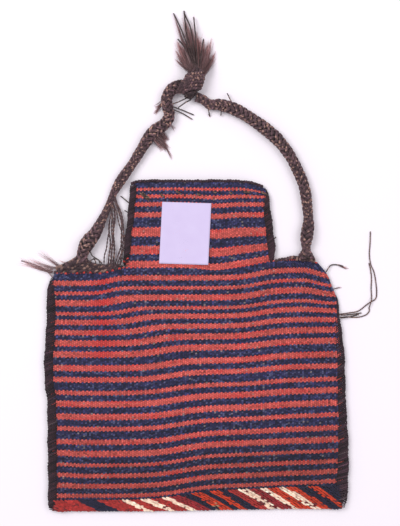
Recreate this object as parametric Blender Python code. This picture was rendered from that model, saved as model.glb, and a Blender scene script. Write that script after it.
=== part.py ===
"""Woven wool salt bag, lying flat with its striped back up.

Metres, +Z up. The origin is on the resting surface, at the middle of the bag without its straps.
+X runs across the bag and +Y from the bottom fold towards the neck and the knot of the straps.
"""

import bpy
import bmesh
from math import asin, cos, pi, sin, sqrt, tanh
from mathutils import Vector

# Cloth: one length of weft-faced wool, folded at the bottom and closed along its sides
BAG_WIDTH = 0.424          # selvedge to selvedge, at the widest place of each side
BODY_HEIGHT = 0.350        # bottom fold to shoulder
NECK_WIDTH = 0.210         # at the shoulders
NECK_TAPER = 0.019         # how much narrower the neck is at its mouth
NECK_HEIGHT = 0.120        # shoulder to mouth
NECK_SHIFT = 0.004         # the neck stands a little right of the middle
CLOTH = 0.0025             # thickness of one wall
POCKET_SLACK = 0.0085      # space between the walls of the body
NECK_SLACK = 0.0070        # space between the walls of the neck
SEAM_SLOPE = 0.034         # distance over which the walls part beside a seam
WEFT_RIDGE = 0.0006        # how far a stripe stands proud between its two edges
HEM_BAND = 0.0265          # height of the wrapped band above the fold
BAND_SLANT = 1.35          # sideways run of the band's stripes for each unit of height
MOUTH_DROOP = 0.006        # how far the two corners of the mouth hang down

# Edge finishes
BINDING_WIDTH = 0.0145     # overcast roll along each side
BINDING_HEIGHT = 0.0094
BINDING_GRIP = 0.0085      # how far the roll reaches over the cloth
NECK_BINDING_WIDTH = 0.0120
NECK_BINDING_GRIP = 0.0075
STITCH_PITCH = 0.0140      # spacing of the ridges that the overcasting makes
STITCH_RELIEF = 0.0005
MOUTH_CORD = 0.0038        # diameter of the twined cord on each lip
LEFT_EDGE_BRAID = 0.0105   # diameter of the braid laid along the left shoulder
RIGHT_EDGE_BRAID = 0.0046  # diameter of the thin one along the right shoulder

# Straps, knot and tassel, of braided goat hair
STRAP = 0.0190
KNOT_RADIUS = 0.0145
TASSEL_SPREAD = 0.054
TASSEL_THICKNESS = 0.015
YARN = 0.0018              # loose two-ply yarn
CORNER_STRAND = 0.0026     # frayed strand at the left corner

# Paper label
LABEL_WIDTH = 0.070
LABEL_HEIGHT = 0.088
LABEL_PAPER = 0.0004
LABEL_CURL = 0.0022
LABEL_ASIDE = 0.020        # from the middle of the neck to the middle of the label
LABEL_UP = 0.047           # from the shoulders to the middle of the label

CLEAR = 0.0003             # space between pieces that touch
END_SPACE = 0.001          # space beside the end of a braid or a roll
FLOOR_SKIN = 0.0002        # space under cords that lie on the floor

# Heights of the stripes in millimetres, dark then red, counted up from the hem band
STRIPES_MM = (
    (4, 6), (9, 6.5), (9, 6), (9, 5.5), (9.5, 8), (8.5, 7), (12, 6.5), (9, 9), (9, 8.5), (8, 6),
    (12, 7.5), (9, 7.5), (11, 8.5), (8, 8.5), (7.5, 7.5), (8.5, 7.5), (7.5, 4.5), (8.5, 7.5),
    (7.5, 5), (8.5, 7), (8, 9.5), (12.5, 12), (12.5, 13), (12.5, 7), (8.5, 5.5), (6, 4.5), (6, 4),
)

# Widths of the slanted stripes of the hem band in millimetres, from its left end
BAND_MM = (
    ("red", 31), ("navy", 30), ("red", 31), ("cream", 13), ("red", 16), ("cream", 16),
    ("red", 11), ("cream", 11), ("crimson", 17), ("navy", 14), ("orange", 17), ("navy", 10),
    ("orange", 14), ("navy", 14), ("red", 14), ("cream", 19), ("crimson", 9), ("cream", 13),
    ("orange", 17), ("cream", 13), ("orange", 13), ("navy", 17), ("orange", 9), ("navy", 28),
)

# How far each selvedge lies inside the widest place, by the share of the body's height
LEFT_INSET = (
    (0.0, 0.0055), (0.30, 0.0050), (0.48, 0.0040), (0.56, 0.0005), (0.655, 0.0), (0.765, 0.0025),
    (0.875, 0.0035), (0.92, 0.0020), (0.965, 0.0050), (1.0, 0.0090),
)
RIGHT_INSET = (
    (0.0, 0.0035), (0.215, 0.0), (0.45, 0.0030), (0.62, 0.0045), (0.71, 0.0084), (0.80, 0.0110),
    (0.855, 0.0118), (0.89, 0.0154), (0.925, 0.0197), (0.95, 0.0230), (0.975, 0.0290), (1.0, 0.0390),
)

# Where the side bindings end and the loose yarns come out, by the share of the body's height
BINDING_START = 0.016
LEFT_BINDING_END = 0.905
RIGHT_BINDING_END = 0.860
OUTER_YARN_ROOT = 0.7786
INNER_YARN_ROOT = 0.7643
CORNER_STRAND_ROOT = 0.980

# Cord routes in millimetres, from the bag outwards
LEFT_STRAP_MM = (
    (-163, 132), (-155, 148), (-145, 160), (-132, 186), (-115, 225), (-89, 264), (-65, 301),
    (-46, 316), (-39, 328), (-41, 340), (-44, 352), (-42, 363),
)
RIGHT_STRAP_MM = (
    (157, 150), (160, 182), (155, 221), (141, 259), (117, 293), (83, 321), (58, 338), (33, 347),
    (16, 350),
)
OUTER_YARN_MM = (
    (220, 46.3), (233, 49), (246, 59), (257, 66), (259, 76), (257.5, 92), (255, 105), (250.5, 116),
    (248.5, 130), (249.5, 146), (250, 163),
)
INNER_YARN_MM = (
    (217, 40.5), (225.5, 39.5), (235, 40.3), (244, 43.5), (248.5, 49), (248, 53.5), (250, 60),
    (251.5, 70), (251, 81), (251.5, 96), (250, 109), (247.8, 117.8),
)
YARN_CROSSING_MM = (250, 61)   # where the inner yarn passes over the outer one
CORNER_STRAND_MM = ((-215, 106), (-224, 112), (-237, 117), (-252, 121))

# Axis of the knot and of the tassel above it
KNOT_FOOT_MM = (-12, 354)
KNOT_HEAD_MM = (2, 394)
TASSEL_TIP_MM = (-15, 477)

EDGE_LIFT = BINDING_HEIGHT / 2 - CLOTH                 # the selvedges sit inside their rolls
EDGE_FLAT = BINDING_GRIP + 0.0015                      # cloth that stays flat beside a seam
FOLD_RADIUS = CLOTH
TOTAL_HEIGHT = BODY_HEIGHT + NECK_HEIGHT
FOLD_Y = -(TOTAL_HEIGHT + CLEAR + MOUTH_CORD) / 2
HALF_WIDTH = BAG_WIDTH / 2


def metres(points_mm):
    return [Vector((x, y)) / 1000 for x, y in points_mm]


def ease(share):
    share = min(max(share, 0.0), 1.0)
    return share * share * (3 - 2 * share)


def mix(low, high, share):
    return low + (high - low) * share


def through(table, share):
    """Smooth curve through a table of (share, value) pairs."""
    count = len(table)
    if share <= table[0][0]:
        return table[0][1]
    for i in range(count - 1):
        s0, v0 = table[i]
        s1, v1 = table[i + 1]
        if share <= s1:
            before = table[max(i - 1, 0)]
            after = table[min(i + 2, count - 1)]
            span = s1 - s0
            slope0 = (v1 - before[1]) / (s1 - before[0]) * span
            slope1 = (after[1] - v0) / (after[0] - s0) * span
            k = (share - s0) / span
            return ((2 * k ** 3 - 3 * k ** 2 + 1) * v0 + (k ** 3 - 2 * k ** 2 + k) * slope0
                    + (3 * k ** 2 - 2 * k ** 3) * v1 + (k ** 3 - k ** 2) * slope1)
    return table[-1][1]


def smooth_route(points, spacing):
    """Evenly spaced points on a smooth curve through the route's own points."""
    dense = []
    last = len(points) - 1
    for i in range(last):
        p0 = points[max(i - 1, 0)]
        p1 = points[i]
        p2 = points[i + 1]
        p3 = points[min(i + 2, last)]
        for k in range(24):
            s = k / 24
            dense.append(0.5 * (2 * p1 + (p2 - p0) * s + (2 * p0 - 5 * p1 + 4 * p2 - p3) * s ** 2
                                + (3 * p1 - p0 - 3 * p2 + p3) * s ** 3))
    dense.append(points[last])
    runs = [(dense[i + 1] - dense[i]).length for i in range(len(dense) - 1)]
    count = max(2, round(sum(runs) / spacing))
    step = sum(runs) / count
    result = [dense[0]]
    travelled = 0.0
    for i, run in enumerate(runs):
        while run > 0 and len(result) * step <= travelled + run and len(result) < count:
            result.append(dense[i].lerp(dense[i + 1], (len(result) * step - travelled) / run))
        travelled += run
    result.append(dense[-1])
    return result


# Lie of the wefts

def weft_rise(x, w):
    """How far the weft woven at height w climbs above or sinks below it at x."""
    up = min(max((w / BODY_HEIGHT - 0.25) / 0.65, 0.0), 1.0)
    neck = 1 - ease((w - BODY_HEIGHT) / 0.055)
    left = mix(0.018, 0.008, up) * (0.5 + 0.5 * tanh((mix(-0.028, -0.124, up) - x) / mix(0.042, 0.016, up)))
    right = mix(0.005, 0.011, up) * (0.5 + 0.5 * tanh((x - mix(0.110, 0.088, up)) / mix(0.050, 0.027, up)))
    corner = 0.010 * ease((x - HALF_WIDTH * 0.71) / 0.045) * ease((w / BODY_HEIGHT - 0.7) / 0.3)
    rise = (right - left - corner) * neck + 0.003 * (1 - up)
    lips = ease((w - TOTAL_HEIGHT + 0.024) / 0.024) * MOUTH_DROOP
    reach = abs(x - NECK_SHIFT) / neck_half(TOTAL_HEIGHT)
    return rise * min(1.0, w / HEM_BAND) - lips * max(0.0, (reach - 0.72) / 0.28) ** 2


def neck_half(w):
    return (NECK_WIDTH - NECK_TAPER * ease((w - BODY_HEIGHT) / NECK_HEIGHT)) / 2


def selvedge(side, w):
    """X of the cloth's edge at height w, on the left (-1) or the right (1)."""
    if w > BODY_HEIGHT:
        return NECK_SHIFT + side * neck_half(w)
    inset = through(LEFT_INSET if side < 0 else RIGHT_INSET, w / BODY_HEIGHT)
    return side * (HALF_WIDTH - inset)


def neck_root(side):
    return NECK_SHIFT + side * NECK_WIDTH / 2


def place(x, w):
    return Vector((x, FOLD_Y + w + weft_rise(x, w)))


def line_of(points, count):
    return [points(i / (count - 1)) for i in range(count)]


SIDES = [
    line_of(lambda s, side=side: place(selvedge(side, s * BODY_HEIGHT), s * BODY_HEIGHT), 34)
    for side in (-1, 1)
]
NECK_SIDES = [
    line_of(lambda s, side=side: place(NECK_SHIFT + side * neck_half(BODY_HEIGHT + s * NECK_HEIGHT),
                                       BODY_HEIGHT + s * NECK_HEIGHT), 12)
    for side in (-1, 1)
]
SHOULDERS = [
    line_of(lambda s, side=side: place(mix(selvedge(side, BODY_HEIGHT), neck_root(side), s),
                                       BODY_HEIGHT), 10)
    for side in (-1, 1)
]
FOLD = [line_of(lambda s: place(mix(-HALF_WIDTH, HALF_WIDTH, s), 0.0), 3)]


def distance(point, lines):
    nearest = 1.0
    for line in lines:
        for a, b in zip(line, line[1:]):
            run = b - a
            share = min(max((point - a).dot(run) / run.length_squared, 0.0), 1.0)
            nearest = min(nearest, (point - a - run * share).length)
    return nearest


def wall_heights(x, w):
    """Underside, pocket floor, pocket ceiling and upper side of the cloth at one place."""
    point = place(x, w)
    beside = distance(point, SIDES + NECK_SIDES)
    seam = min(beside, distance(point, SHOULDERS + FOLD))
    lift = EDGE_LIFT * (1 - ease((beside - EDGE_FLAT) / 0.015))
    slack = mix(POCKET_SLACK, NECK_SLACK, ease((w - BODY_HEIGHT + 0.03) / 0.06))
    gap = slack * ease((seam - EDGE_FLAT) / SEAM_SLOPE)
    return lift, lift + CLOTH, lift + CLOTH + gap, lift + 2 * CLOTH + gap, gap / slack


# Materials

def wool(name, rgb, roughness=0.9):
    material = bpy.data.materials.new(name)
    material.use_nodes = True
    shader = material.node_tree.nodes["Principled BSDF"]
    shader.inputs["Base Color"].default_value = (*rgb, 1)
    shader.inputs["Roughness"].default_value = roughness
    shader.inputs["Metallic"].default_value = 0.0
    material.diffuse_color = (*rgb, 1)
    return material


COLOURS = {
    "navy": wool("wool_navy", (0.024, 0.027, 0.085)),
    "red": wool("wool_red", (0.55, 0.075, 0.055)),
    "crimson": wool("wool_crimson", (0.36, 0.020, 0.022)),
    "orange": wool("wool_orange", (0.60, 0.055, 0.018)),
    "cream": wool("wool_cream", (0.86, 0.66, 0.44)),
    "binding": wool("binding_wool", (0.028, 0.016, 0.020)),
    "braid": wool("goat_hair_braid", (0.070, 0.043, 0.034)),
    "tassel": wool("goat_hair_tassel", (0.100, 0.058, 0.052)),
    "yarn": wool("loose_wool_yarn", (0.150, 0.095, 0.080)),
    "paper": wool("label_paper", (0.76, 0.71, 0.88), 0.6),
}


def make_object(name, bm, colours):
    bmesh.ops.recalc_face_normals(bm, faces=bm.faces)
    mesh = bpy.data.meshes.new(name)
    bm.to_mesh(mesh)
    bm.free()
    for colour in colours:
        mesh.materials.append(COLOURS[colour])
    mesh.shade_smooth()
    mesh.set_sharp_from_angle(angle=0.9)
    thing = bpy.data.objects.new(name, mesh)
    bpy.context.collection.objects.link(thing)
    return thing


# Woven cloth

CLOTH_COLOURS = ("navy", "red", "crimson", "orange", "cream")


def stripe_edges():
    """Heights of the stripe edges with the colour that starts at each, up to the mouth."""
    edges = []
    height = HEM_BAND
    for dark, red in STRIPES_MM:
        edges.append((height, "navy"))
        edges.append((height + dark / 1000, "red"))
        height += (dark + red) / 1000
    edges.append((height, "navy"))
    return edges


def weft_rows():
    """Rows of the cloth as (height, colour of the stripe above, 1 on a ridge's crest)."""
    edges = stripe_edges()
    marks = []
    colour = "navy"
    for height, colour in edges:
        if height < TOTAL_HEIGHT - 0.002:
            marks.append((height, colour))
    for stop in (BODY_HEIGHT, TOTAL_HEIGHT):
        below = [mark for mark in marks if mark[0] <= stop][-1]
        marks = [mark for mark in marks if abs(mark[0] - stop) > 0.0015]
        marks.append((stop, below[1]))
        marks.sort()
    rows = []
    for (low, colour), (high, _) in zip(marks, marks[1:]):
        rows.append((low, colour, 0))
        rows.append(((low + high) / 2, colour, 1))
    rows.append((TOTAL_HEIGHT, colour, 0))
    return rows


def spread(low, high, count):
    return [mix(low, high, (i + 1) / (count + 1)) for i in range(count)]


def cloth_columns(w):
    """X of each column of the cloth, with the places of the neck's two edges among them."""
    steps = (0.0, EDGE_FLAT, EDGE_FLAT + 0.4 * SEAM_SLOPE, EDGE_FLAT + SEAM_SLOPE)
    if w > BODY_HEIGHT:
        low, high = selvedge(-1, w), selvedge(1, w)
        left = [low + step for step in steps]
        right = [high - step for step in reversed(steps)]
        return left + spread(left[-1], right[0], 2) + right
    neck = [neck_root(-1) + step for step in steps] + [neck_root(1) - step for step in reversed(steps)]
    neck = neck[:4] + spread(neck[3], neck[4], 2) + neck[4:]
    left = [selvedge(-1, w) + step for step in steps]
    right = [selvedge(1, w) - step for step in reversed(steps)]
    return left + spread(left[-1], neck[0], 1) + neck + spread(neck[-1], right[0], 1) + right


NECK_COLUMNS = (5, 14)     # the columns that run on into the neck


def under_columns(w):
    """Columns of the flat underside, with all of them where it meets a shoulder or a lip."""
    if w in (BODY_HEIGHT, TOTAL_HEIGHT):
        return cloth_columns(w)
    low, high = selvedge(-1, w), selvedge(1, w)
    steps = (0.0, EDGE_FLAT, EDGE_FLAT + 0.015)
    roots = [neck_root(-1), neck_root(1)] if w < BODY_HEIGHT else []
    return [low + step for step in steps] + roots + [high - step for step in reversed(steps)]


def pocket_columns(w):
    """X of each column of the pocket, which stays clear of the seams."""
    steps = (EDGE_FLAT, EDGE_FLAT + 0.3 * SEAM_SLOPE, EDGE_FLAT + 0.6 * SEAM_SLOPE, EDGE_FLAT + SEAM_SLOPE)
    neck_w = max(w, BODY_HEIGHT + EDGE_FLAT / 10)
    low, high = selvedge(-1, neck_w), selvedge(1, neck_w)
    neck = [low + step for step in steps] + [high - step for step in reversed(steps)]
    if w > BODY_HEIGHT:
        return neck
    left = [selvedge(-1, w) + step for step in steps]
    right = [selvedge(1, w) - step for step in reversed(steps)]
    return left + neck + right


POCKET_NECK = (4, 11)


def band_columns(w):
    """Columns of the hem band: its slanted colour edges, and the flat strips at both ends."""
    low, high = selvedge(-1, w), selvedge(1, w)
    start = low + EDGE_FLAT
    stop = high - EDGE_FLAT
    edges = []
    x = start
    for _, width in BAND_MM[:-1]:
        x += width / 1000
        band_height = HEM_BAND + weft_rise(x, HEM_BAND)
        edges.append(x + BAND_SLANT * band_height * (1 - w / HEM_BAND))
    count = len(edges)
    edges = [min(edge, stop - 0.0015 * (count - i)) for i, edge in enumerate(edges)]
    return [low, start] + edges + [stop, high]


def zip_rows(bm, first, second, colour):
    """Closes the strip between two rows of points, which may differ in number."""
    index = CLOTH_COLOURS.index(colour)
    if len(first) == len(second):
        for i in range(len(first) - 1):
            bm.faces.new((first[i], first[i + 1], second[i + 1], second[i])).material_index = index
        return
    i = j = 0

    def share(row, at):
        whole = sum((row[k + 1].co - row[k].co).length for k in range(len(row) - 1))
        return sum((row[k + 1].co - row[k].co).length for k in range(at)) / whole

    while i < len(first) - 1 or j < len(second) - 1:
        on_first = j == len(second) - 1 or (
            i < len(first) - 1 and share(first, i + 1) <= share(second, j + 1))
        if on_first:
            corners = (first[i], first[i + 1], second[j])
            i += 1
        else:
            corners = (first[i], second[j + 1], second[j])
            j += 1
        bm.faces.new(corners).material_index = index


def fold_drop(w, below):
    """How far the folded cloth has turned in at height w, from its upper or lower side."""
    if w >= FOLD_RADIUS:
        return 0.0
    turned = FOLD_RADIUS - sqrt(FOLD_RADIUS ** 2 - (FOLD_RADIUS - w) ** 2)
    return turned if below else -turned


def build_cloth():
    bm = bmesh.new()

    def upper(x, w, crest=0):
        heights = wall_heights(x, w)
        z = heights[3] + WEFT_RIDGE * crest * heights[4] + fold_drop(w, False)
        return bm.verts.new((*place(x, w), z))

    def under(x, w):
        return bm.verts.new((*place(x, w), wall_heights(x, w)[0] + fold_drop(w, True)))

    fold_rows = [0.0, FOLD_RADIUS * 0.3, FOLD_RADIUS]
    band_rows = fold_rows + [HEM_BAND * 0.5, HEM_BAND]
    band = [[upper(x, w) for x in band_columns(w)] for w in band_rows]
    band_colours = ["navy"] + [colour for colour, _ in BAND_MM] + ["navy"]
    for low, high in zip(band, band[1:]):
        for i, colour in enumerate(band_colours):
            face = bm.faces.new((low[i], low[i + 1], high[i + 1], high[i]))
            face.material_index = CLOTH_COLOURS.index(colour)

    wefts = weft_rows()
    first, last = NECK_COLUMNS
    rows = []
    for w, _, crest in wefts[1:]:
        row = [upper(x, w, crest) for x in cloth_columns(w)]
        rows.append(row)
    zip_rows(bm, band[-1], rows[0], wefts[0][1])
    for (w, colour, _), low, high in zip(wefts[1:], rows, rows[1:]):
        if abs(w - BODY_HEIGHT) < 1e-9:
            low = low[first:last + 1]
        zip_rows(bm, low, high, colour)
    shoulder = next(i for i, weft in enumerate(wefts[1:]) if abs(weft[0] - BODY_HEIGHT) < 1e-9)

    plain = [weft for weft in wefts if not weft[2]]
    under_rows = [under_w for under_w in fold_rows[1:]] + [weft[0] for weft in plain]
    colours = ["crimson"] * 2 + [weft[1] for weft in plain]
    below = [[under(x, w) for x in under_columns(w)] for w in under_rows]
    under_shoulder = next(i for i, w in enumerate(under_rows) if abs(w - BODY_HEIGHT) < 1e-9)
    for i in range(len(below) - 1):
        low = below[i][first:last + 1] if i == under_shoulder else below[i]
        zip_rows(bm, low, below[i + 1], colours[i])

    upper_edge = band + rows[:shoulder + 1]
    under_edge = below[:under_shoulder + 1]
    zip_rows(bm, band[0], below[0], "crimson")
    for at in (0, -1):
        zip_rows(bm, [row[at] for row in upper_edge], [row[at] for row in under_edge], "navy")
    top, bottom = rows[shoulder], below[under_shoulder]
    zip_rows(bm, top[:first + 1], bottom[:first + 1], "navy")
    zip_rows(bm, top[last:], bottom[last:], "navy")
    for root, at in ((first, 0), (last, -1)):
        neck_top = [top[root]] + [row[at] for row in rows[shoulder + 1:]]
        neck_bottom = [bottom[root]] + [row[at] for row in below[under_shoulder + 1:]]
        zip_rows(bm, neck_top, neck_bottom, "navy")

    build_pocket(bm, rows[-1], below[-1])
    return make_object("bag_cloth", bm, CLOTH_COLOURS)


def line_at(points, x):
    """Place of a row of the cloth at x; the row is straight from one column to the next."""
    for a, b in zip(points, points[1:]):
        if x <= b.x or b is points[-1]:
            return a + (b - a) * ((x - a.x) / (b.x - a.x))


def build_pocket(bm, upper_lip, under_lip):
    """Inside of the bag: a ceiling and a floor that meet at the seams and open at the mouth."""
    near = EDGE_FLAT
    heights = [near + 0.3 * SEAM_SLOPE, near + 0.6 * SEAM_SLOPE, near + SEAM_SLOPE]
    shoulder = BODY_HEIGHT - near
    full = near + 1.5 * SEAM_SLOPE
    body = [near] + heights + [full] + spread(full, BODY_HEIGHT - heights[-1], 3)
    body += [BODY_HEIGHT - height for height in reversed(heights)] + [shoulder]
    neck = [BODY_HEIGHT + share * NECK_HEIGHT for share in (0.08, 0.3, 0.65, 1.0)]
    first, last = POCKET_NECK
    lip = [Vector(vertex.co[:2]) for vertex in upper_lip]
    ceiling, floor = [], []
    for w in body + neck:
        high_row, low_row = [], []
        columns = pocket_columns(w)
        for i, x in enumerate(columns):
            heights = wall_heights(x, w)
            spot = line_at(lip, x) if w == neck[-1] else place(x, w)
            shared = i in (0, len(columns) - 1) or w == near or (
                w == shoulder and not first < i < last)
            if shared:
                vertex = bm.verts.new((*spot, heights[1]))
                high_row.append(vertex)
                low_row.append(vertex)
            else:
                slack = max(heights[2] - heights[1], 0.0002)
                high_row.append(bm.verts.new((*spot, heights[1] + slack)))
                low_row.append(bm.verts.new((*spot, heights[1])))
        ceiling.append(high_row)
        floor.append(low_row)
    for skin in (ceiling, floor):
        for i in range(len(skin) - 1):
            low = skin[i][first:last + 1] if i == len(body) - 1 else skin[i]
            high = skin[i + 1]
            for k in range(len(high) - 1):
                corners = []
                for vertex in (low[k], low[k + 1], high[k + 1], high[k]):
                    if vertex not in corners:
                        corners.append(vertex)
                bm.faces.new(corners)
    zip_rows(bm, upper_lip, ceiling[-1], "navy")
    zip_rows(bm, under_lip, floor[-1], "navy")
    for at in (0, -1):
        bm.faces.new((upper_lip[at], ceiling[-1][at], under_lip[at]))


# Overcast rolls along the edges

def build_binding(name, side, low, high, width, grip, in_neck):
    """Roll of overcast wool, open on its inner side, where it grips the edge of the cloth."""
    length = high - low
    pitches = max(2, round(length / STITCH_PITCH))
    rings = 2 * pitches
    half = width / 2
    slot = CLOTH + CLEAR
    centre = half - grip + CLEAR
    start = pi - asin(slot / (BINDING_HEIGHT / 2))
    angles = [mix(start, -start, i / 8) for i in range(9)]
    bm = bmesh.new()
    loops = []
    for ring in range(rings + 1):
        w = mix(low, high, ring / rings)
        ends = ring in (0, rings)
        relief = STITCH_RELIEF if ring % 2 and not ends else 0.0
        loop = []
        for angle in angles:
            lean = 0.0 if ends else STITCH_PITCH * 0.28 * cos(angle / 2 + pi / 2)
            at = w + lean
            edge = place(selvedge_run(side, at, in_neck), at)
            outward = edge_normal(side, at, in_neck)
            shrink = relief - STITCH_RELIEF
            s = centre + (half + shrink) * cos(angle)
            z = BINDING_HEIGHT / 2 + (BINDING_HEIGHT / 2 + shrink) * sin(angle)
            if abs(angle) > start - 1e-6:
                z = BINDING_HEIGHT / 2 + (slot if angle > 0 else -slot)
            loop.append(bm.verts.new((*(edge + outward * s), z)))
        edge = place(selvedge_run(side, w, in_neck), w)
        outward = edge_normal(side, w, in_neck)
        for z in (-slot, slot):
            loop.append(bm.verts.new((*(edge + outward * CLEAR), BINDING_HEIGHT / 2 + z)))
        loops.append(loop)
    for one, other in zip(loops, loops[1:]):
        for i in range(len(one)):
            k = (i + 1) % len(one)
            bm.faces.new((one[i], one[k], other[k], other[i]))
    bm.faces.new(loops[0])
    bm.faces.new(loops[-1])
    return make_object(name, bm, ("binding",))


def selvedge_run(side, w, in_neck):
    if in_neck:
        return NECK_SHIFT + side * neck_half(w)
    return selvedge(side, min(w, BODY_HEIGHT))


def edge_normal(side, w, in_neck):
    step = 0.004
    below = place(selvedge_run(side, w - step, in_neck), w - step)
    above = place(selvedge_run(side, w + step, in_neck), w + step)
    run = (above - below).normalized()
    return Vector((run.y, -run.x)) * side


# Rolls, knot and tassel

def build_roll(name, path, half_widths, half_heights, sides, colour):
    """Closed body with an oval section that follows a path and rounds off at both ends."""
    bm = bmesh.new()
    loops = []
    last = len(path) - 1
    for i, centre in enumerate(path):
        run = (path[min(i + 1, last)] - path[max(i - 1, 0)]).normalized()
        across = run.cross(Vector((0, 0, 1))).normalized()
        up = across.cross(run)
        loops.append([
            bm.verts.new(centre + across * half_widths[i] * cos(2 * pi * k / sides)
                         + up * half_heights[i] * sin(2 * pi * k / sides))
            for k in range(sides)])
    for one, other in zip(loops, loops[1:]):
        for i in range(sides):
            k = (i + 1) % sides
            bm.faces.new((one[i], one[k], other[k], other[i]))
    bm.faces.new(loops[0])
    bm.faces.new(loops[-1])
    return make_object(name, bm, (colour,))


def resting_on(points, x, radius):
    """Y at which the centre of a round cord just clears a row of the cloth."""
    turns = [pi * k / 12 for k in range(13)]
    return CLEAR + max(line_at(points, x + radius * cos(turn)).y + radius * sin(turn) for turn in turns)


def shoulder_line(side):
    columns = cloth_columns(BODY_HEIGHT)
    first, last = NECK_COLUMNS
    chosen = columns[:first + 1] if side < 0 else columns[last:]
    return [place(x, BODY_HEIGHT) for x in chosen]


def build_mouth_cord(name, lower):
    """Twined cord along one lip of the mouth."""
    radius = MOUTH_CORD / 2
    columns = cloth_columns(TOTAL_HEIGHT + CLEAR)
    lip = [place(x, TOTAL_HEIGHT) for x in columns]
    xs = [columns[0] - 0.002] + columns + [columns[-1] + 0.002]
    xs[6:6] = spread(xs[5], xs[6], 1)
    path = []
    for x in xs:
        inside = min(max(x, columns[0]), columns[-1])
        floor, pocket_floor, ceiling, top, _ = wall_heights(inside, TOTAL_HEIGHT)
        low = max(radius + FLOOR_SKIN, (floor + pocket_floor) / 2 - 0.0006)
        high = max((ceiling + top) / 2 + 0.0004, low + MOUTH_CORD + CLEAR)
        path.append(Vector((x, resting_on(lip, x, radius), low if lower else high)))
    sizes = [radius * (0.6 if x in (xs[0], xs[-1]) else 1.0) for x in xs]
    return build_roll(name, path, sizes, sizes, 8, "binding")


def build_shoulder_braid(name, side, diameter, start, stop, end_share):
    """Braid laid along a shoulder, from x = start to x = stop."""
    line = shoulder_line(side)
    joints = [point.x for point in line if start + 0.003 < point.x < stop - 0.003]
    xs = []
    for low, high in zip([start] + joints, joints + [stop]):
        count = max(1, round((high - low) / (diameter * 0.7)))
        xs += [mix(low, high, i / count) for i in range(count)]
    xs.append(stop)
    path, sizes = [], []
    for i, x in enumerate(xs):
        radius = diameter / 2 * mix(1.0, end_share, ease((x - start) / (stop - start)))
        height = max(diameter / 2 + FLOOR_SKIN, (EDGE_LIFT + CLOTH) * (side > 0))
        path.append(Vector((x, resting_on(line, x, radius), height)))
        sizes.append(radius * (0.7 if i in (0, len(xs) - 1) else 0.94 + 0.06 * (i % 2)))
    return build_roll(name, path, sizes, sizes, 10, "braid")


KNOT_STATIONS = ((0.0, 0.45), (0.12, 0.72), (0.26, 0.96), (0.33, 0.88), (0.42, 1.0), (0.50, 0.90),
                 (0.58, 0.98), (0.66, 0.86), (0.74, 0.90), (0.82, 0.70), (0.90, 0.66), (1.0, 0.52))


def knot_point(share):
    foot, head = metres((KNOT_FOOT_MM, KNOT_HEAD_MM))
    return foot.lerp(head, share)


def knot_side(share, side):
    """Place beside the knot where a strap enters it, and the direction out of the knot there."""
    axis = knot_point(1.0) - knot_point(0.0)
    outward = Vector((axis.y, -axis.x)).normalized() * side
    reach = STRAP / 2 / axis.length
    widest = max(through(KNOT_STATIONS, share + reach * k / 6) for k in range(-6, 7))
    return knot_point(share) + outward * (KNOT_RADIUS * widest + CLEAR), outward


def build_knot():
    path = [Vector((*knot_point(share), KNOT_RADIUS + FLOOR_SKIN)) for share, _ in KNOT_STATIONS]
    sizes = [KNOT_RADIUS * size for _, size in KNOT_STATIONS]
    return build_roll("strap_knot", path, sizes, sizes, 14, "braid")


def build_tassel():
    """Unspun ends of both straps beyond the knot, fanned out and lying down towards their tips."""
    head = knot_point(1.0)
    axis = (head - knot_point(0.0)).normalized()
    tip = metres((TASSEL_TIP_MM,))[0]
    base = head + axis * CLEAR
    neck = base + axis * 0.006
    bend = neck + axis * (tip - neck).length * 0.3
    stations = ((0.0, 0.34, 1.0), (0.14, 0.60, 0.95), (0.30, 0.88, 0.8), (0.48, 1.0, 0.65),
                (0.66, 0.80, 0.5), (0.85, 0.55, 0.35), (1.0, 0.30, 0.2))
    centre = KNOT_RADIUS + FLOOR_SKIN
    path = [Vector((*base, centre))]
    widths, heights = [TASSEL_SPREAD * 0.14], [TASSEL_THICKNESS * 0.45]
    for share, spread_share, thick_share in stations:
        half_height = TASSEL_THICKNESS / 2 * thick_share
        spot = neck.lerp(bend, share).lerp(bend.lerp(tip, share), share)
        path.append(Vector((*spot, mix(centre, half_height + FLOOR_SKIN, ease(share / 0.5)))))
        widths.append(TASSEL_SPREAD / 2 * spread_share)
        heights.append(half_height)
    return build_roll("tassel", path, widths, heights, 14, "tassel")


def build_cord(name, route, diameter, spacing, resolution, colour):
    """Round cord on a smooth curve through its route, straight at both ends."""
    curve = bpy.data.curves.new(name, "CURVE")
    curve.dimensions = "3D"
    curve.bevel_depth = diameter / 2
    curve.bevel_resolution = resolution
    curve.use_fill_caps = True
    points = [route[0]] + smooth_route(route[1:-1], spacing) + [route[-1]]
    spline = curve.splines.new("POLY")
    spline.points.add(len(points) - 1)
    for point, place_of in zip(spline.points, points):
        point.co = (*place_of, 1)
    curve.materials.append(COLOURS[colour])
    thing = bpy.data.objects.new(name, curve)
    bpy.context.collection.objects.link(thing)
    return thing


def on_floor(points, radius):
    return [Vector((*point, radius + FLOOR_SKIN)) for point in points]


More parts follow.
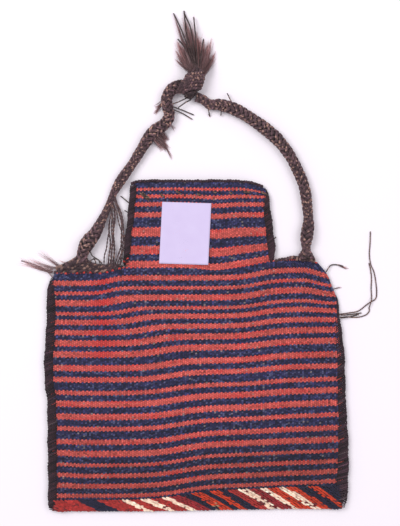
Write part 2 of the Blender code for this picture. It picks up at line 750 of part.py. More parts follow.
def build_straps():
    radius = STRAP / 2
    lead = 0.010
    left_x = LEFT_STRAP_MM[0][0] / 1000
    seat = line_at(shoulder_line(-1), left_x)
    braid_top = seat.y + 2 * CLEAR + LEFT_EDGE_BRAID
    left = [Vector((left_x, braid_top)), Vector((left_x, braid_top + lead))] + metres(LEFT_STRAP_MM)
    entry, outward = knot_side(0.45, -1)
    left += [entry + outward * lead, entry + outward * CLEAR]
    build_cord("strap_left", on_floor(left, radius), STRAP, 0.016, 4, "braid")

    right_x = RIGHT_STRAP_MM[0][0] / 1000
    line = shoulder_line(1)
    seat = line_at(line, right_x)
    run = (line_at(line, right_x + radius) - line_at(line, right_x - radius)).normalized()
    normal = Vector((-run.y, run.x))
    crown = max((line_at(line, right_x + radius * k / 8) - seat).dot(normal) for k in range(-9, 10))
    right = [seat + normal * (crown + 2 * CLEAR), seat + normal * (crown + lead)] + metres(RIGHT_STRAP_MM)
    entry, outward = knot_side(0.12, 1)
    right += [entry + outward * lead, entry + outward * CLEAR]
    build_cord("strap_right", on_floor(right, radius), STRAP, 0.016, 4, "braid")


def edge_root(side, share, reach):
    """Place beside the edge of the body at a share of its height, and the direction away from it."""
    w = share * BODY_HEIGHT
    outward = edge_normal(side, w, False)
    return place(selvedge(side, w), w) + outward * reach, outward


def let_down(points, hold, radius, run):
    """Route of a cord that leaves an edge at height hold and comes down to the floor in a run."""
    route = []
    for point in smooth_route([Vector((*p, 0)) for p in points], 0.004):
        flat = Vector((point.x, point.y))
        z = mix(hold, radius + FLOOR_SKIN, ease((flat - points[0]).length / run))
        route.append(Vector((flat.x, flat.y, z)))
    return route


def build_yarns():
    radius = YARN / 2
    crossing = Vector((*metres((YARN_CROSSING_MM,))[0], 0))
    for name, share, points_mm, over in (
            ("loose_yarn_outer", OUTER_YARN_ROOT, OUTER_YARN_MM, False),
            ("loose_yarn_inner", INNER_YARN_ROOT, INNER_YARN_MM, True)):
        start, outward = edge_root(1, share, BINDING_WIDTH - BINDING_GRIP + 2 * CLEAR)
        points = [start, start + outward * 0.003] + metres(points_mm)
        route = let_down(points, BINDING_HEIGHT / 2, radius, 0.016)
        for point in route:
            if over:
                away = (Vector((point.x, point.y, 0)) - crossing).length
                point.z += (YARN + 2 * CLEAR) * (1 - ease(away / 0.011))
        build_cord(name, route, YARN, 0.0065, 2, "yarn")

    start, outward = edge_root(-1, CORNER_STRAND_ROOT, 1.5 * CLEAR)
    points = [start, start + outward * 0.002] + metres(CORNER_STRAND_MM)
    route = let_down(points, EDGE_LIFT + CLOTH, CORNER_STRAND / 2, 0.014)
    build_cord("corner_strand", route, CORNER_STRAND, 0.0075, 2, "yarn")


def build_label():
    """Blank paper label lying on the neck, its edges a little lifted."""
    centre = Vector((NECK_SHIFT - LABEL_ASIDE, FOLD_Y + BODY_HEIGHT + LABEL_UP))
    across = Vector((cos(-0.03), sin(-0.03)))
    along = Vector((-across.y, across.x)) + across * 0.02
    columns, rows = 7, 8
    bm = bmesh.new()
    skins = []
    for thickness in (0.0, LABEL_PAPER):
        skin = []
        for j in range(rows + 1):
            row = []
            for i in range(columns + 1):
                u, v = i / columns - 0.5, j / rows - 0.5
                point = centre + across * (u * LABEL_WIDTH) + along * (v * LABEL_HEIGHT)
                heights = wall_heights(point.x, point.y - FOLD_Y)
                z = heights[3] + WEFT_RIDGE + CLEAR + LABEL_CURL * (2 * abs(u)) ** 3 * (0.5 - v)
                row.append(bm.verts.new((point.x, point.y, z + thickness)))
            skin.append(row)
        skins.append(skin)
    for skin in skins:
        for low, high in zip(skin, skin[1:]):
            for i in range(columns):
                bm.faces.new((low[i], low[i + 1], high[i + 1], high[i]))

    def rim(skin):
        return (skin[0][:-1] + [row[-1] for row in skin[:-1]] + list(reversed(skin[-1][1:]))
                + [row[0] for row in reversed(skin[1:])])

    lower, upper = rim(skins[0]), rim(skins[1])
    for i in range(len(lower)):
        k = (i + 1) % len(lower)
        bm.faces.new((lower[i], lower[k], upper[k], upper[i]))
    return make_object("paper_label", bm, ("paper",))


def build_bag():
    for thing in list(bpy.data.objects):
        bpy.data.objects.remove(thing, do_unlink=True)
    build_cloth()
    build_binding("left_side_binding", -1, BINDING_START * BODY_HEIGHT, LEFT_BINDING_END * BODY_HEIGHT,
                  BINDING_WIDTH, BINDING_GRIP, False)
    build_binding("right_side_binding", 1, BINDING_START * BODY_HEIGHT, RIGHT_BINDING_END * BODY_HEIGHT,
                  BINDING_WIDTH, BINDING_GRIP, False)
    neck_low = BODY_HEIGHT + 2 * END_SPACE
    neck_high = TOTAL_HEIGHT - MOUTH_DROOP
    for name, side in (("left_neck_binding", -1), ("right_neck_binding", 1)):
        build_binding(name, side, neck_low, neck_high, NECK_BINDING_WIDTH, NECK_BINDING_GRIP, True)
    build_mouth_cord("mouth_cord_front", True)
    build_mouth_cord("mouth_cord_back", False)
    overhang = NECK_BINDING_WIDTH - NECK_BINDING_GRIP + 2 * CLEAR
    build_shoulder_braid("left_shoulder_braid", -1, LEFT_EDGE_BRAID,
                         selvedge(-1, BODY_HEIGHT) + 2 * END_SPACE,
                         neck_root(-1) - overhang - END_SPACE, 0.62)
    build_shoulder_braid("right_shoulder_braid", 1, RIGHT_EDGE_BRAID,
                         neck_root(1) + overhang + END_SPACE,
                         RIGHT_STRAP_MM[0][0] / 1000 - STRAP / 2 - END_SPACE, 1.0)
    build_straps()
    build_knot()
    build_tassel()
    build_yarns()
    build_label()


build_bag()
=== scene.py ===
"""Looks of the woven wool salt bag: its cloth, bindings, braids, tassel and label, on a pale floor."""

from math import cos, pi, radians, sin

import bpy
import numpy as np
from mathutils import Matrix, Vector


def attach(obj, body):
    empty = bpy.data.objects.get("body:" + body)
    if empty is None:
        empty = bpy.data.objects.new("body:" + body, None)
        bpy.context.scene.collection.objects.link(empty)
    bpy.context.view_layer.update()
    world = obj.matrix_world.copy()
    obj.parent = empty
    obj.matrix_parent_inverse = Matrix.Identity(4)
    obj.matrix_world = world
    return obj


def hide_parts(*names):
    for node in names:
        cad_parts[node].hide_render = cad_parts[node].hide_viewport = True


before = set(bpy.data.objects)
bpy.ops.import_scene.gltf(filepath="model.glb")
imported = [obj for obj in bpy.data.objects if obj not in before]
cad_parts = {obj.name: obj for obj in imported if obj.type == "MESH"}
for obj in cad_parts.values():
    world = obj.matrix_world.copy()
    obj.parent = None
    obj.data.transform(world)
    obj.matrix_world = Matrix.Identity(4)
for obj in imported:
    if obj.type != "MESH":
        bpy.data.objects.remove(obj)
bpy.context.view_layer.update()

# Camera: straight above the bag, as high as a person's eyes over a table.
# The picture is 400 x 526 pixels and each one is 1.43 mm of the bag.

PICTURE_HEIGHT = 526 * 0.00143
VIEW_CENTRE = (0.0050, 0.1178)
EYE_HEIGHT = 1.30
BAG_MIDDLE = 0.008          # height of the layer that the picture's scale is right for
SENSOR = 36

eye = bpy.data.cameras.new("eye")
eye.sensor_width = SENSOR
eye.lens = SENSOR * EYE_HEIGHT / PICTURE_HEIGHT
eye.clip_start, eye.clip_end = 0.05, 20
camera = bpy.data.objects.new("eye", eye)
camera.location = (*VIEW_CENTRE, EYE_HEIGHT + BAG_MIDDLE)
bpy.context.scene.collection.objects.link(camera)
bpy.context.scene.camera = camera

# Floor: a broad sheet of white paper, faintly lilac, that the bag lies on. Two big soft lamps and a
# pale sky light it, so that the shadows are short and weak.

FLOOR_REACH = 4
SKY_TINT = (0.99, 0.93, 1.0)
SKY_STRENGTH = 0.56
LAMPS = (
    # name, place, size, watts, tint
    ("lamp_left", (-1.3, 0.9, 1.9), 1.3, 30, (1.0, 0.98, 1.0)),
    ("lamp_right", (1.4, 0.5, 1.9), 1.5, 15, (1.0, 0.97, 0.99)),
)


class Shade:
    """A value or a colour inside a material, so that sums on it are written as sums."""

    def __init__(self, finish, socket):
        self.finish = finish
        self.socket = socket

    def is_colour(self):
        return self.socket.type in ("RGBA", "VECTOR")

    def sum(self, operation, first, second):
        pair = {0: first, 1: second}
        if not any(isinstance(value, Shade) and value.is_colour() for value in pair.values()):
            return self.finish.node("Math", pair, operation=operation)
        spread = {k: (value,) * 3 if isinstance(value, float) else value for k, value in pair.items()}
        return self.finish.node("VectorMath", spread, operation=operation)

    def __add__(self, other):
        return self.sum("ADD", self, other)

    def __radd__(self, other):
        return self.sum("ADD", other, self)

    def __mul__(self, other):
        return self.sum("MULTIPLY", self, other)


class Finish:
    """A material whose nodes are added one call at a time."""

    def __init__(self, name, roughness=0.9, **constants):
        self.material = bpy.data.materials.new(name)
        self.material.use_nodes = True
        self.tree = self.material.node_tree
        self.shader = self.tree.nodes["Principled BSDF"]
        self.shader.inputs["Roughness"].default_value = roughness
        for socket, value in constants.items():
            self.shader.inputs[socket.replace("_", " ")].default_value = value

    def node(self, kind, values=None, out=0, **settings):
        """Adds a ShaderNode of a kind, sets it, joins its sockets and gives its output."""
        made = self.tree.nodes.new("ShaderNode" + kind)
        for setting, value in settings.items():
            setattr(made, setting, value)
        for socket, value in (values or {}).items():
            self.join(made.inputs[socket], value)
        return Shade(self, made.outputs[out])

    def join(self, socket, value):
        if isinstance(value, Shade):
            self.tree.links.new(value.socket, socket)
        elif isinstance(value, tuple) and socket.type == "RGBA":
            socket.default_value = (*value, 1)
        else:
            socket.default_value = value

    def blend(self, share, low, high):
        values = {0: share, 6: low, 7: high}
        return self.node("Mix", values, out=2, data_type="RGBA")

    def place(self, stretch=(1, 1, 1)):
        """Object coordinates in metres, stretched along the axes."""
        return self.node("TexCoord", out=3) * stretch

    def noise(self, where, scale, detail):
        return self.node("TexNoise", {"Vector": where, "Scale": scale, "Detail": detail})

    def feed(self, **sockets):
        for socket, value in sockets.items():
            self.join(self.shader.inputs[socket.replace("_", " ")], value)

    def bump(self, height, distance, strength):
        values = {"Height": height, "Distance": distance, "Strength": strength}
        self.feed(Normal=self.node("Bump", values))


paper_floor = Finish("floor_paper", roughness=0.85)
grain = paper_floor.noise(paper_floor.place(), 2.5, 2.0)
paper_floor.feed(Base_Color=paper_floor.blend(grain, (0.965, 0.940, 0.985), (0.985, 0.960, 0.990)))

floor_mesh = bpy.data.meshes.new("floor")
floor_corners = [(x * FLOOR_REACH, y * FLOOR_REACH, 0) for x, y in ((-1, -1), (1, -1), (1, 1), (-1, 1))]
floor_mesh.from_pydata(floor_corners, [], [(0, 1, 2, 3)])
floor_mesh.materials.append(paper_floor.material)
floor = bpy.data.objects.new("floor", floor_mesh)
bpy.context.scene.collection.objects.link(floor)

for lamp_name, spot, lamp_size, watts, lamp_tint in LAMPS:
    lamp = bpy.data.lights.new(lamp_name, "AREA")
    lamp.size, lamp.energy, lamp.color = lamp_size, watts, lamp_tint
    holder = bpy.data.objects.new(lamp_name, lamp)
    holder.location = spot
    aim = Vector((*VIEW_CENTRE, 0)) - Vector(spot)
    holder.rotation_euler = aim.to_track_quat("-Z", "Y").to_euler()
    bpy.context.scene.collection.objects.link(holder)
sky = bpy.data.worlds.new("studio")
sky.use_nodes = True
sky.node_tree.nodes["Background"].inputs["Color"].default_value = (*SKY_TINT, 1)
sky.node_tree.nodes["Background"].inputs["Strength"].default_value = SKY_STRENGTH
bpy.context.scene.world = sky
bpy.context.scene.view_settings.view_transform = "Standard"

# Cloth of the bag: one length of wool, woven with the wefts packed down over hidden warps, folded at
# the bottom and closed at the sides. Each weft passes over every second warp, so that the surface is
# a lattice of small beads in vertical ribs, and a stripe changes colour from one weft to the next.

BAG_WIDTH = 0.424
BODY_HEIGHT = 0.350
NECK_WIDTH = 0.210
NECK_TAPER = 0.019
NECK_HEIGHT = 0.120
NECK_SHIFT = 0.004
CLOTH = 0.0025
POCKET_SLACK = 0.0085
NECK_SLACK = 0.0070
SEAM_SLOPE = 0.034
WEFT_RIDGE = 0.0006
HEM_BAND = 0.0265
MOUTH_DROOP = 0.006
TOTAL_HEIGHT = BODY_HEIGHT + NECK_HEIGHT
EDGE_LIFT = 0.0022          # of the cloth's edges, which rest on their bindings
EDGE_FLAT = 0.010           # how far in from a seam the two walls touch
FOLD_RISE = 0.0030          # how much higher the fold lies at its right end
FOLD_Y = -0.23705
HALF_WIDTH = BAG_WIDTH / 2
ROOT_LEFT, ROOT_RIGHT = NECK_SHIFT - NECK_WIDTH / 2, NECK_SHIFT + NECK_WIDTH / 2

# pairs of a dark and a red stripe, from the hem band upwards
STRIPES_MM = (
    (4, 6), (9, 6.5), (9, 6), (9, 5.5), (9.5, 8), (8.5, 7), (12, 6.5), (9, 9), (9, 8.5), (8, 6),
    (12, 7.5), (9, 7.5), (11, 8.5), (7.5, 8.5), (6.8, 7.5), (7, 7.5), (6, 4.5), (8.5, 7.5),
    (7.5, 5), (8.5, 7), (11.3, 9), (9.7, 12), (13.5, 13), (14, 7), (9.5, 5.5), (6.5, 4.5), (5.5, 4),
)
# share of the body's height, and how far the edge is drawn in there
LEFT_INSET = (
    (0.0, 0.0055), (0.30, 0.0050), (0.48, 0.0040), (0.56, 0.0005), (0.655, 0.0), (0.765, 0.0025),
    (0.875, 0.0035), (0.92, 0.0020), (0.965, 0.0050), (1.0, 0.0090),
)
RIGHT_INSET = (
    (0.0, 0.0035), (0.215, 0.0), (0.45, 0.0030), (0.62, 0.0045), (0.71, 0.0084), (0.80, 0.0110),
    (0.855, 0.0118), (0.89, 0.0154), (0.925, 0.0197), (0.95, 0.0230), (0.975, 0.0290), (1.0, 0.0390),
)

BEND_AT = ((0.0, -0.020), (0.35, -0.030), (0.70, -0.060), (1.0, -0.124))    # share of the height, x
LEFT_DIP = (0.0150, 0.008)  # of the wefts left of the bend, low in the body and at the shoulders
RIGHT_CLIMB = (0.005, 0.011)     # and of those at the right
CLIMB_AT = (0.110, 0.088)
CORNER_DROP = 0.010         # of the right shoulder's corner
NECK_SAG = 0.0042           # of the wefts beside the label
SAG_AT = SAG_WIDTH = 0.026

NAVY = (0.019, 0.020, 0.066)
NAVY_FLECK = (0.095, 0.105, 0.215)
RED = (0.60, 0.100, 0.082)
BRIGHT_RED = (0.64, 0.036, 0.034)
WARP_FLECK = (0.36, 0.30, 0.27)
RIB = 0.0030                # from one warp to the next
PICK = 0.0012               # from one weft to the next
# the next three are painted shade and highlight: factors on the wool's tint that darken it between ribs and
# where a weft dives under a warp, and brighten it on top of a bead
VALLEY_SHADE = 0.62               # how dark the wool is down between two ribs
UNDER_SHADE = 0.64                # and where a weft dives under a warp
CREST_HIGHLIGHT = 1.44                # and how bright on top of a bead
BEAD = 0.00058              # how far a bead stands over the cloth's middle surface
EDGE_ROUNDING = 0.0011      # how far the cloth turns down right at its edge
RED_CONTRAST, NAVY_CONTRAST = 0.20, 0.45     # from one bead to the next
WORN = 0.20                 # share of navy beads that show worn wool
BARE_RIBS = 0.10            # share of ribs with more specks of bare warp
BENT_AT = 0.076             # from the left edge to the wefts that bend and show bright red
LEFT_RIBS, NECK_RIBS, RIGHT_RIBS = 37, 70, 34
NECK_COLUMNS = (2 * LEFT_RIBS, 2 * (LEFT_RIBS + NECK_RIBS))
INSET_REACH = 0.100         # how far in from an edge the ribs lean with it
LINING_ROWS, LINING_COLUMNS = 9, 8     # of the weave to one face of the plain inside

BAND_SLANT = 1.50
BAND_START = 0.0100         # from the cloth's left edge to the first diagonal stripe
BAND_ENDS_AT = 0.01         # height at which the band's two ends are measured
BAND_COLOURS = {
    "red": (0.38, 0.028, 0.024), "navy": (0.012, 0.012, 0.034), "cream": (0.93, 0.70, 0.53),
    "crimson": (0.29, 0.018, 0.024), "orange": (0.56, 0.045, 0.013),
}
# diagonal stripes of the hem band from the left
BAND_MM = (
    ("red", 26), ("navy", 30), ("red", 34.5), ("cream", 11), ("red", 17.5), ("cream", 12.5),
    ("red", 16), ("cream", 10), ("crimson", 18.5), ("navy", 12), ("orange", 16.5), ("navy", 9.5),
    ("orange", 14), ("navy", 13.5), ("red", 14), ("cream", 14), ("crimson", 16.5), ("cream", 11.5),
    ("orange", 17), ("cream", 11.5), ("orange", 15), ("navy", 16), ("orange", 12), ("navy", 25),
)


def ease(share):
    share = np.clip(share, 0.0, 1.0)
    return share * share * (3 - 2 * share)


def mix(low, high, share):
    return low + (high - low) * share


def through(table, share):
    """Smooth curve through a table of (share, value) pairs."""
    shares = np.array([row[0] for row in table])
    values = np.array([row[1] for row in table])
    last = len(table) - 1
    share = np.clip(share, shares[0], shares[-1])
    at = np.clip(np.searchsorted(shares, share) - 1, 0, last - 1)
    before, after = np.maximum(at - 1, 0), np.minimum(at + 2, last)
    span = shares[at + 1] - shares[at]
    slope_0 = (values[at + 1] - values[before]) / (shares[at + 1] - shares[before]) * span
    slope_1 = (values[after] - values[at]) / (shares[after] - shares[at]) * span
    k = (share - shares[at]) / span
    return ((2 * k ** 3 - 3 * k ** 2 + 1) * values[at] + (k ** 3 - 2 * k ** 2 + k) * slope_0
            + (3 * k ** 2 - 2 * k ** 3) * values[at + 1] + (k ** 3 - k ** 2) * slope_1)


def neck_half(w):
    return (NECK_WIDTH - NECK_TAPER * ease((w - BODY_HEIGHT) / NECK_HEIGHT)) / 2


def step_up(past, width):
    return 0.5 + 0.5 * np.tanh(past / width)


def weft_rise(x, w):
    """How far the weft woven at height w climbs above or sinks below it at x."""
    up = np.clip((w / BODY_HEIGHT - 0.25) / 0.65, 0.0, 1.0)
    neck = 1 - ease((w - BODY_HEIGHT) / 0.055)
    left = mix(*LEFT_DIP, up) * step_up(through(BEND_AT, up) - x, mix(0.042, 0.016, up ** 2))
    right = mix(*RIGHT_CLIMB, up) * step_up(x - mix(*CLIMB_AT, up), mix(0.050, 0.027, up))
    corner = CORNER_DROP * ease((x - HALF_WIDTH * 0.71) / 0.045) * ease((w / BODY_HEIGHT - 0.7) / 0.3)
    over_neck = (w - BODY_HEIGHT) / NECK_HEIGHT
    sag = NECK_SAG * np.exp(-((x - SAG_AT) / SAG_WIDTH) ** 2)
    sag = sag * ease(over_neck * 10 + 0.9) * (1 - 0.6 * over_neck)
    sag = np.where(over_neck > 0.8, sag * ease((1 - over_neck) * 5), sag)
    rise = (right - left - corner) * neck + 0.003 * (1 - up) - sag
    lips = ease((w - TOTAL_HEIGHT + 0.024) / 0.024) * MOUTH_DROOP
    reach = (x - NECK_SHIFT) / neck_half(TOTAL_HEIGHT)
    right_droop = 1.5 * np.maximum(0.0, (reach - 0.55) / 0.45) ** 2
    left_droop = 0.5 * np.maximum(0.0, (-reach - 0.86) / 0.14) ** 2
    return rise * np.minimum(1.0, w / HEM_BAND) - lips * (right_droop + left_droop)


def selvedge(side, w):
    """X of the cloth's edge at height w, on the left (-1) or the right (1)."""
    inset = through(LEFT_INSET if side < 0 else RIGHT_INSET, w / BODY_HEIGHT)
    return np.where(w > BODY_HEIGHT, NECK_SHIFT + side * neck_half(w), side * (HALF_WIDTH - inset))


def place(x, w):
    """Where the cloth's point at x and height w lies on the floor."""
    x, w = np.broadcast_arrays(np.asarray(x, float), np.asarray(w, float))
    fold = FOLD_RISE * ease((x + 0.10) / 0.26) * (1 - ease(w / 0.06))
    return np.stack([x, FOLD_Y + w + weft_rise(x, w) + fold], axis=-1)


# the bag's seams and its fold, as lines on the floor
SIDES, SHOULDERS = [], []
for side in (-1, 1):
    up = np.linspace(0, 1, 34) * BODY_HEIGHT
    SIDES.append(place(selvedge(side, up), up))
    up = BODY_HEIGHT + np.linspace(0, 1, 12) * NECK_HEIGHT
    SIDES.append(place(NECK_SHIFT + side * neck_half(up), up))
    inward = mix(selvedge(side, BODY_HEIGHT), NECK_SHIFT + side * NECK_WIDTH / 2, np.linspace(0, 1, 10))
    SHOULDERS.append(place(inward, BODY_HEIGHT))
FOLD = place(mix(-HALF_WIDTH, HALF_WIDTH, np.linspace(0, 1, 14)), 0)


def distance(points, lines):
    """How far each point is from the nearest of the lines."""
    nearest = np.full(points.shape[:-1], 1.0)
    for line in lines:
        for a, b in zip(line, line[1:]):
            run = b - a
            share = np.clip(((points - a) @ run) / (run @ run), 0.0, 1.0)
            away = points - a - share[..., None] * run
            nearest = np.minimum(nearest, np.hypot(away[..., 0], away[..., 1]))
    return nearest


def wall_heights(x, w):
    """Underside, pocket floor, pocket ceiling and upper side of the cloth, its share of slack, and how
    far the nearest seam is."""
    points = place(x, w)
    beside = distance(points, SIDES)
    seam = np.minimum(beside, distance(points, SHOULDERS + [FOLD]))
    lift = EDGE_LIFT * (1 - ease((beside - EDGE_FLAT) / 0.015))
    slack = mix(POCKET_SLACK, NECK_SLACK, ease((w - BODY_HEIGHT + 0.03) / 0.06))
    gap = slack * ease((seam - EDGE_FLAT) / SEAM_SLOPE)
    return lift, lift + CLOTH, lift + CLOTH + gap, lift + 2 * CLOTH + gap, gap / slack, seam


def upper_side(x, w):
    return wall_heights(x, w)[3]


def round_fold(w):
    """How far the cloth has turned down at height w, where it rounds the fold."""
    return np.where(w < CLOTH, CLOTH - np.sqrt(np.maximum(CLOTH ** 2 - (CLOTH - w) ** 2, 0)), 0.0)


def stripe_edges():
    edges, height = [], HEM_BAND
    for dark, red in STRIPES_MM:
        edges += [height, height + dark / 1000]
        height += (dark + red) / 1000
    return np.array(edges + [height])


STRIPE_EDGES = stripe_edges()


def in_red(w):
    """True where the weft at height w is red."""
    return (np.searchsorted(STRIPE_EDGES, w, side="right") % 2 == 0) & (w >= HEM_BAND)


def stripe_crest(w):
    """0 at a stripe's edges and 1 at its middle."""
    at = np.clip(np.searchsorted(STRIPE_EDGES, w, side="right") - 1, 0, len(STRIPE_EDGES) - 2)
    share = (w - STRIPE_EDGES[at]) / (STRIPE_EDGES[at + 1] - STRIPE_EDGES[at])
    return np.where((share > 0) & (share < 1), np.sin(pi * np.clip(share, 0, 1)), 0.0)


def band_wool(x, w):
    """Kind of wool, by its place in BAND_MM, that the hem band shows at x and height w."""
    height = HEM_BAND + weft_rise(x, np.full_like(x, HEM_BAND))
    slant = BAND_SLANT * (0.55 * height + 0.012) * (1 - w / HEM_BAND)
    back = x - slant - selvedge(-1, np.array(BAND_ENDS_AT)) - BAND_START
    ends = np.cumsum([width / 1000 for _, width in BAND_MM])
    return np.clip(np.searchsorted(ends, back), 0, len(BAND_MM) - 1)


def slow_wander(rng, rows, columns, knots):
    """Random values from -1 to 1 that drift slowly along each row."""
    coarse = rng.uniform(-1, 1, (rows, knots + 1))
    at = np.linspace(0, knots - 1e-6, columns)
    low = at.astype(int)
    share = ease(at - low)
    return coarse[:, low] * (1 - share) + coarse[:, low + 1] * share


def linked(name, mesh):
    thing = bpy.data.objects.new(name, mesh)
    bpy.context.scene.collection.objects.link(thing)
    return thing


def tint_mesh(mesh, tints, domain):
    colours = np.concatenate([np.asarray(tints, np.float32), np.ones((len(tints), 1), np.float32)], axis=1)
    mesh.attributes.new("tint", "FLOAT_COLOR", domain).data.foreach_set("color", colours.ravel())


def hand_over(thing, replaces=()):
    """Puts a piece on the part's one body and hides the solids that it stands for."""
    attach(thing, "root")
    if replaces:
        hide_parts(*replaces)


def shape(name, points, polygons, tints, material, smooth=True):
    """Mesh object from points, arrays of polygons of equal size, and a tint for each point or corner."""
    mesh = bpy.data.meshes.new(name)
    mesh.vertices.add(len(points))
    mesh.vertices.foreach_set("co", np.asarray(points, np.float32).ravel())
    sizes = np.concatenate([np.full(len(group), group.shape[1]) for group in polygons])
    corners = np.concatenate([group.ravel() for group in polygons])
    mesh.loops.add(len(corners))
    mesh.loops.foreach_set("vertex_index", corners.astype(np.int32))
    mesh.polygons.add(len(sizes))
    mesh.polygons.foreach_set("loop_start", (np.cumsum(sizes) - sizes).astype(np.int32))
    mesh.update(calc_edges=True)
    if smooth:
        mesh.shade_smooth()
    tint_mesh(mesh, tints, "POINT" if len(tints) == len(points) else "CORNER")
    mesh.materials.append(material)
    return linked(name, mesh)


def cloth_grid():
    """Rows and columns of the weave: heights, x of each crossing, and which crossings exist."""
    below = np.concatenate([[0.0, 0.0008, 0.0016, 0.0025], np.linspace(0.0046, HEM_BAND, 11)])
    picks = round((BODY_HEIGHT - HEM_BAND) / PICK)
    body = np.linspace(HEM_BAND, BODY_HEIGHT, picks + 1)[1:]
    neck = np.linspace(BODY_HEIGHT, TOTAL_HEIGHT, round(NECK_HEIGHT / PICK) + 1)[1:]
    heights = np.concatenate([below, body, neck])
    columns = np.concatenate([
        np.linspace(-HALF_WIDTH, ROOT_LEFT, 2 * LEFT_RIBS + 1)[:-1],
        np.linspace(ROOT_LEFT, ROOT_RIGHT, 2 * NECK_RIBS + 1)[:-1],
        np.linspace(ROOT_RIGHT, HALF_WIDTH, 2 * RIGHT_RIBS + 1)])
    w, flat_x = np.meshgrid(heights, columns, indexing="ij")
    left_inset = HALF_WIDTH + selvedge(-1, np.minimum(w, BODY_HEIGHT))
    right_inset = HALF_WIDTH - selvedge(1, np.minimum(w, BODY_HEIGHT))
    x = flat_x + left_inset * (1 - ease((flat_x + HALF_WIDTH) / INSET_REACH))
    x = x - right_inset * (1 - ease((HALF_WIDTH - flat_x) / INSET_REACH))
    neck_share = (flat_x - ROOT_LEFT) / (ROOT_RIGHT - ROOT_LEFT)
    x = np.where(w > BODY_HEIGHT + 1e-6, NECK_SHIFT + (2 * neck_share - 1) * neck_half(w), x)
    cells = np.ones((len(heights) - 1, len(columns) - 1), bool)
    above = heights[:-1] > BODY_HEIGHT - 1e-6
    cells[above, :NECK_COLUMNS[0]] = False
    cells[above, NECK_COLUMNS[1]:] = False
    return heights, x, w, cells


def wool_tints(heights, columns, seed):
    """Colour of every half bead: the wool of its weft, its dye uneven, flecked and showing wear."""
    rng = np.random.default_rng(seed)
    rows, ribs = len(heights), (columns + 1) // 2
    tone = slow_wander(rng, rows, ribs, 9) * 0.10 + rng.normal(0, 0.05, (rows, 1))
    bead = rng.normal(0, 1, (rows, ribs))
    red = np.array(RED) * (1 + tone + RED_CONTRAST * bead)[..., None]
    vivid = ease((slow_wander(rng, rows, ribs, 14) - 0.45) / 0.4)
    bent = np.exp(-((np.arange(ribs) * RIB - BENT_AT) / 0.017) ** 2)
    bent = bent * ease((heights[:, None] - 0.16) / 0.10)
    vivid = np.maximum(vivid * 0.65, bent * rng.uniform(0.5, 1.0, (rows, ribs)))[..., None]
    red = mix(red, np.array(BRIGHT_RED) * (1 + 0.08 * bead)[..., None], vivid)
    navy = np.array(NAVY) * np.exp(1.5 * tone + NAVY_CONTRAST * bead)[..., None]
    wear_and_painted_shade = WORN + 0.08 * slow_wander(rng, rows, ribs, 6) + 0.06 * rng.uniform(-1, 1, (1, ribs))
    flecked = (rng.uniform(size=(rows, ribs)) < wear_and_painted_shade)[..., None]
    paler = mix(navy, np.array(NAVY_FLECK), rng.uniform(0.1, 1.0, (rows, ribs, 1)))
    navy = np.where(flecked, paler, navy)
    # the bag is dimmer low down, most of all at the right, and brightest in its middle
    across = np.arange(ribs) * RIB / (2 * HALF_WIDTH)
    dim = ease((0.130 - heights) / 0.07)[:, None] * mix(0.10, 0.26, across)
    dim = dim[..., None] * np.array((1.0, 1.0, 1.2))
    red = red * (1 + 0.12 * np.exp(-((across - 0.48) / 0.17) ** 2))[None, :, None]
    colours = np.where(in_red(heights)[:, None, None], red * (1 - dim), navy * (1 - dim) ** 1.7)
    bare = rng.uniform(size=(1, ribs)) < BARE_RIBS
    shown = rng.uniform(size=(rows, ribs)) < np.where(bare, 0.040, 0.010)
    speck = mix(colours, np.array(WARP_FLECK), rng.uniform(0.2, 0.6, (rows, ribs, 1)))
    return np.clip(np.where(shown[..., None], speck, colours), 0.002, 0.95)


def kept_lines(count, step, others):
    """True for the rows or columns that the plain inside has too."""
    kept = np.zeros(count, bool)
    kept[::step] = True
    kept[[0, count - 1, *others]] = True
    return kept


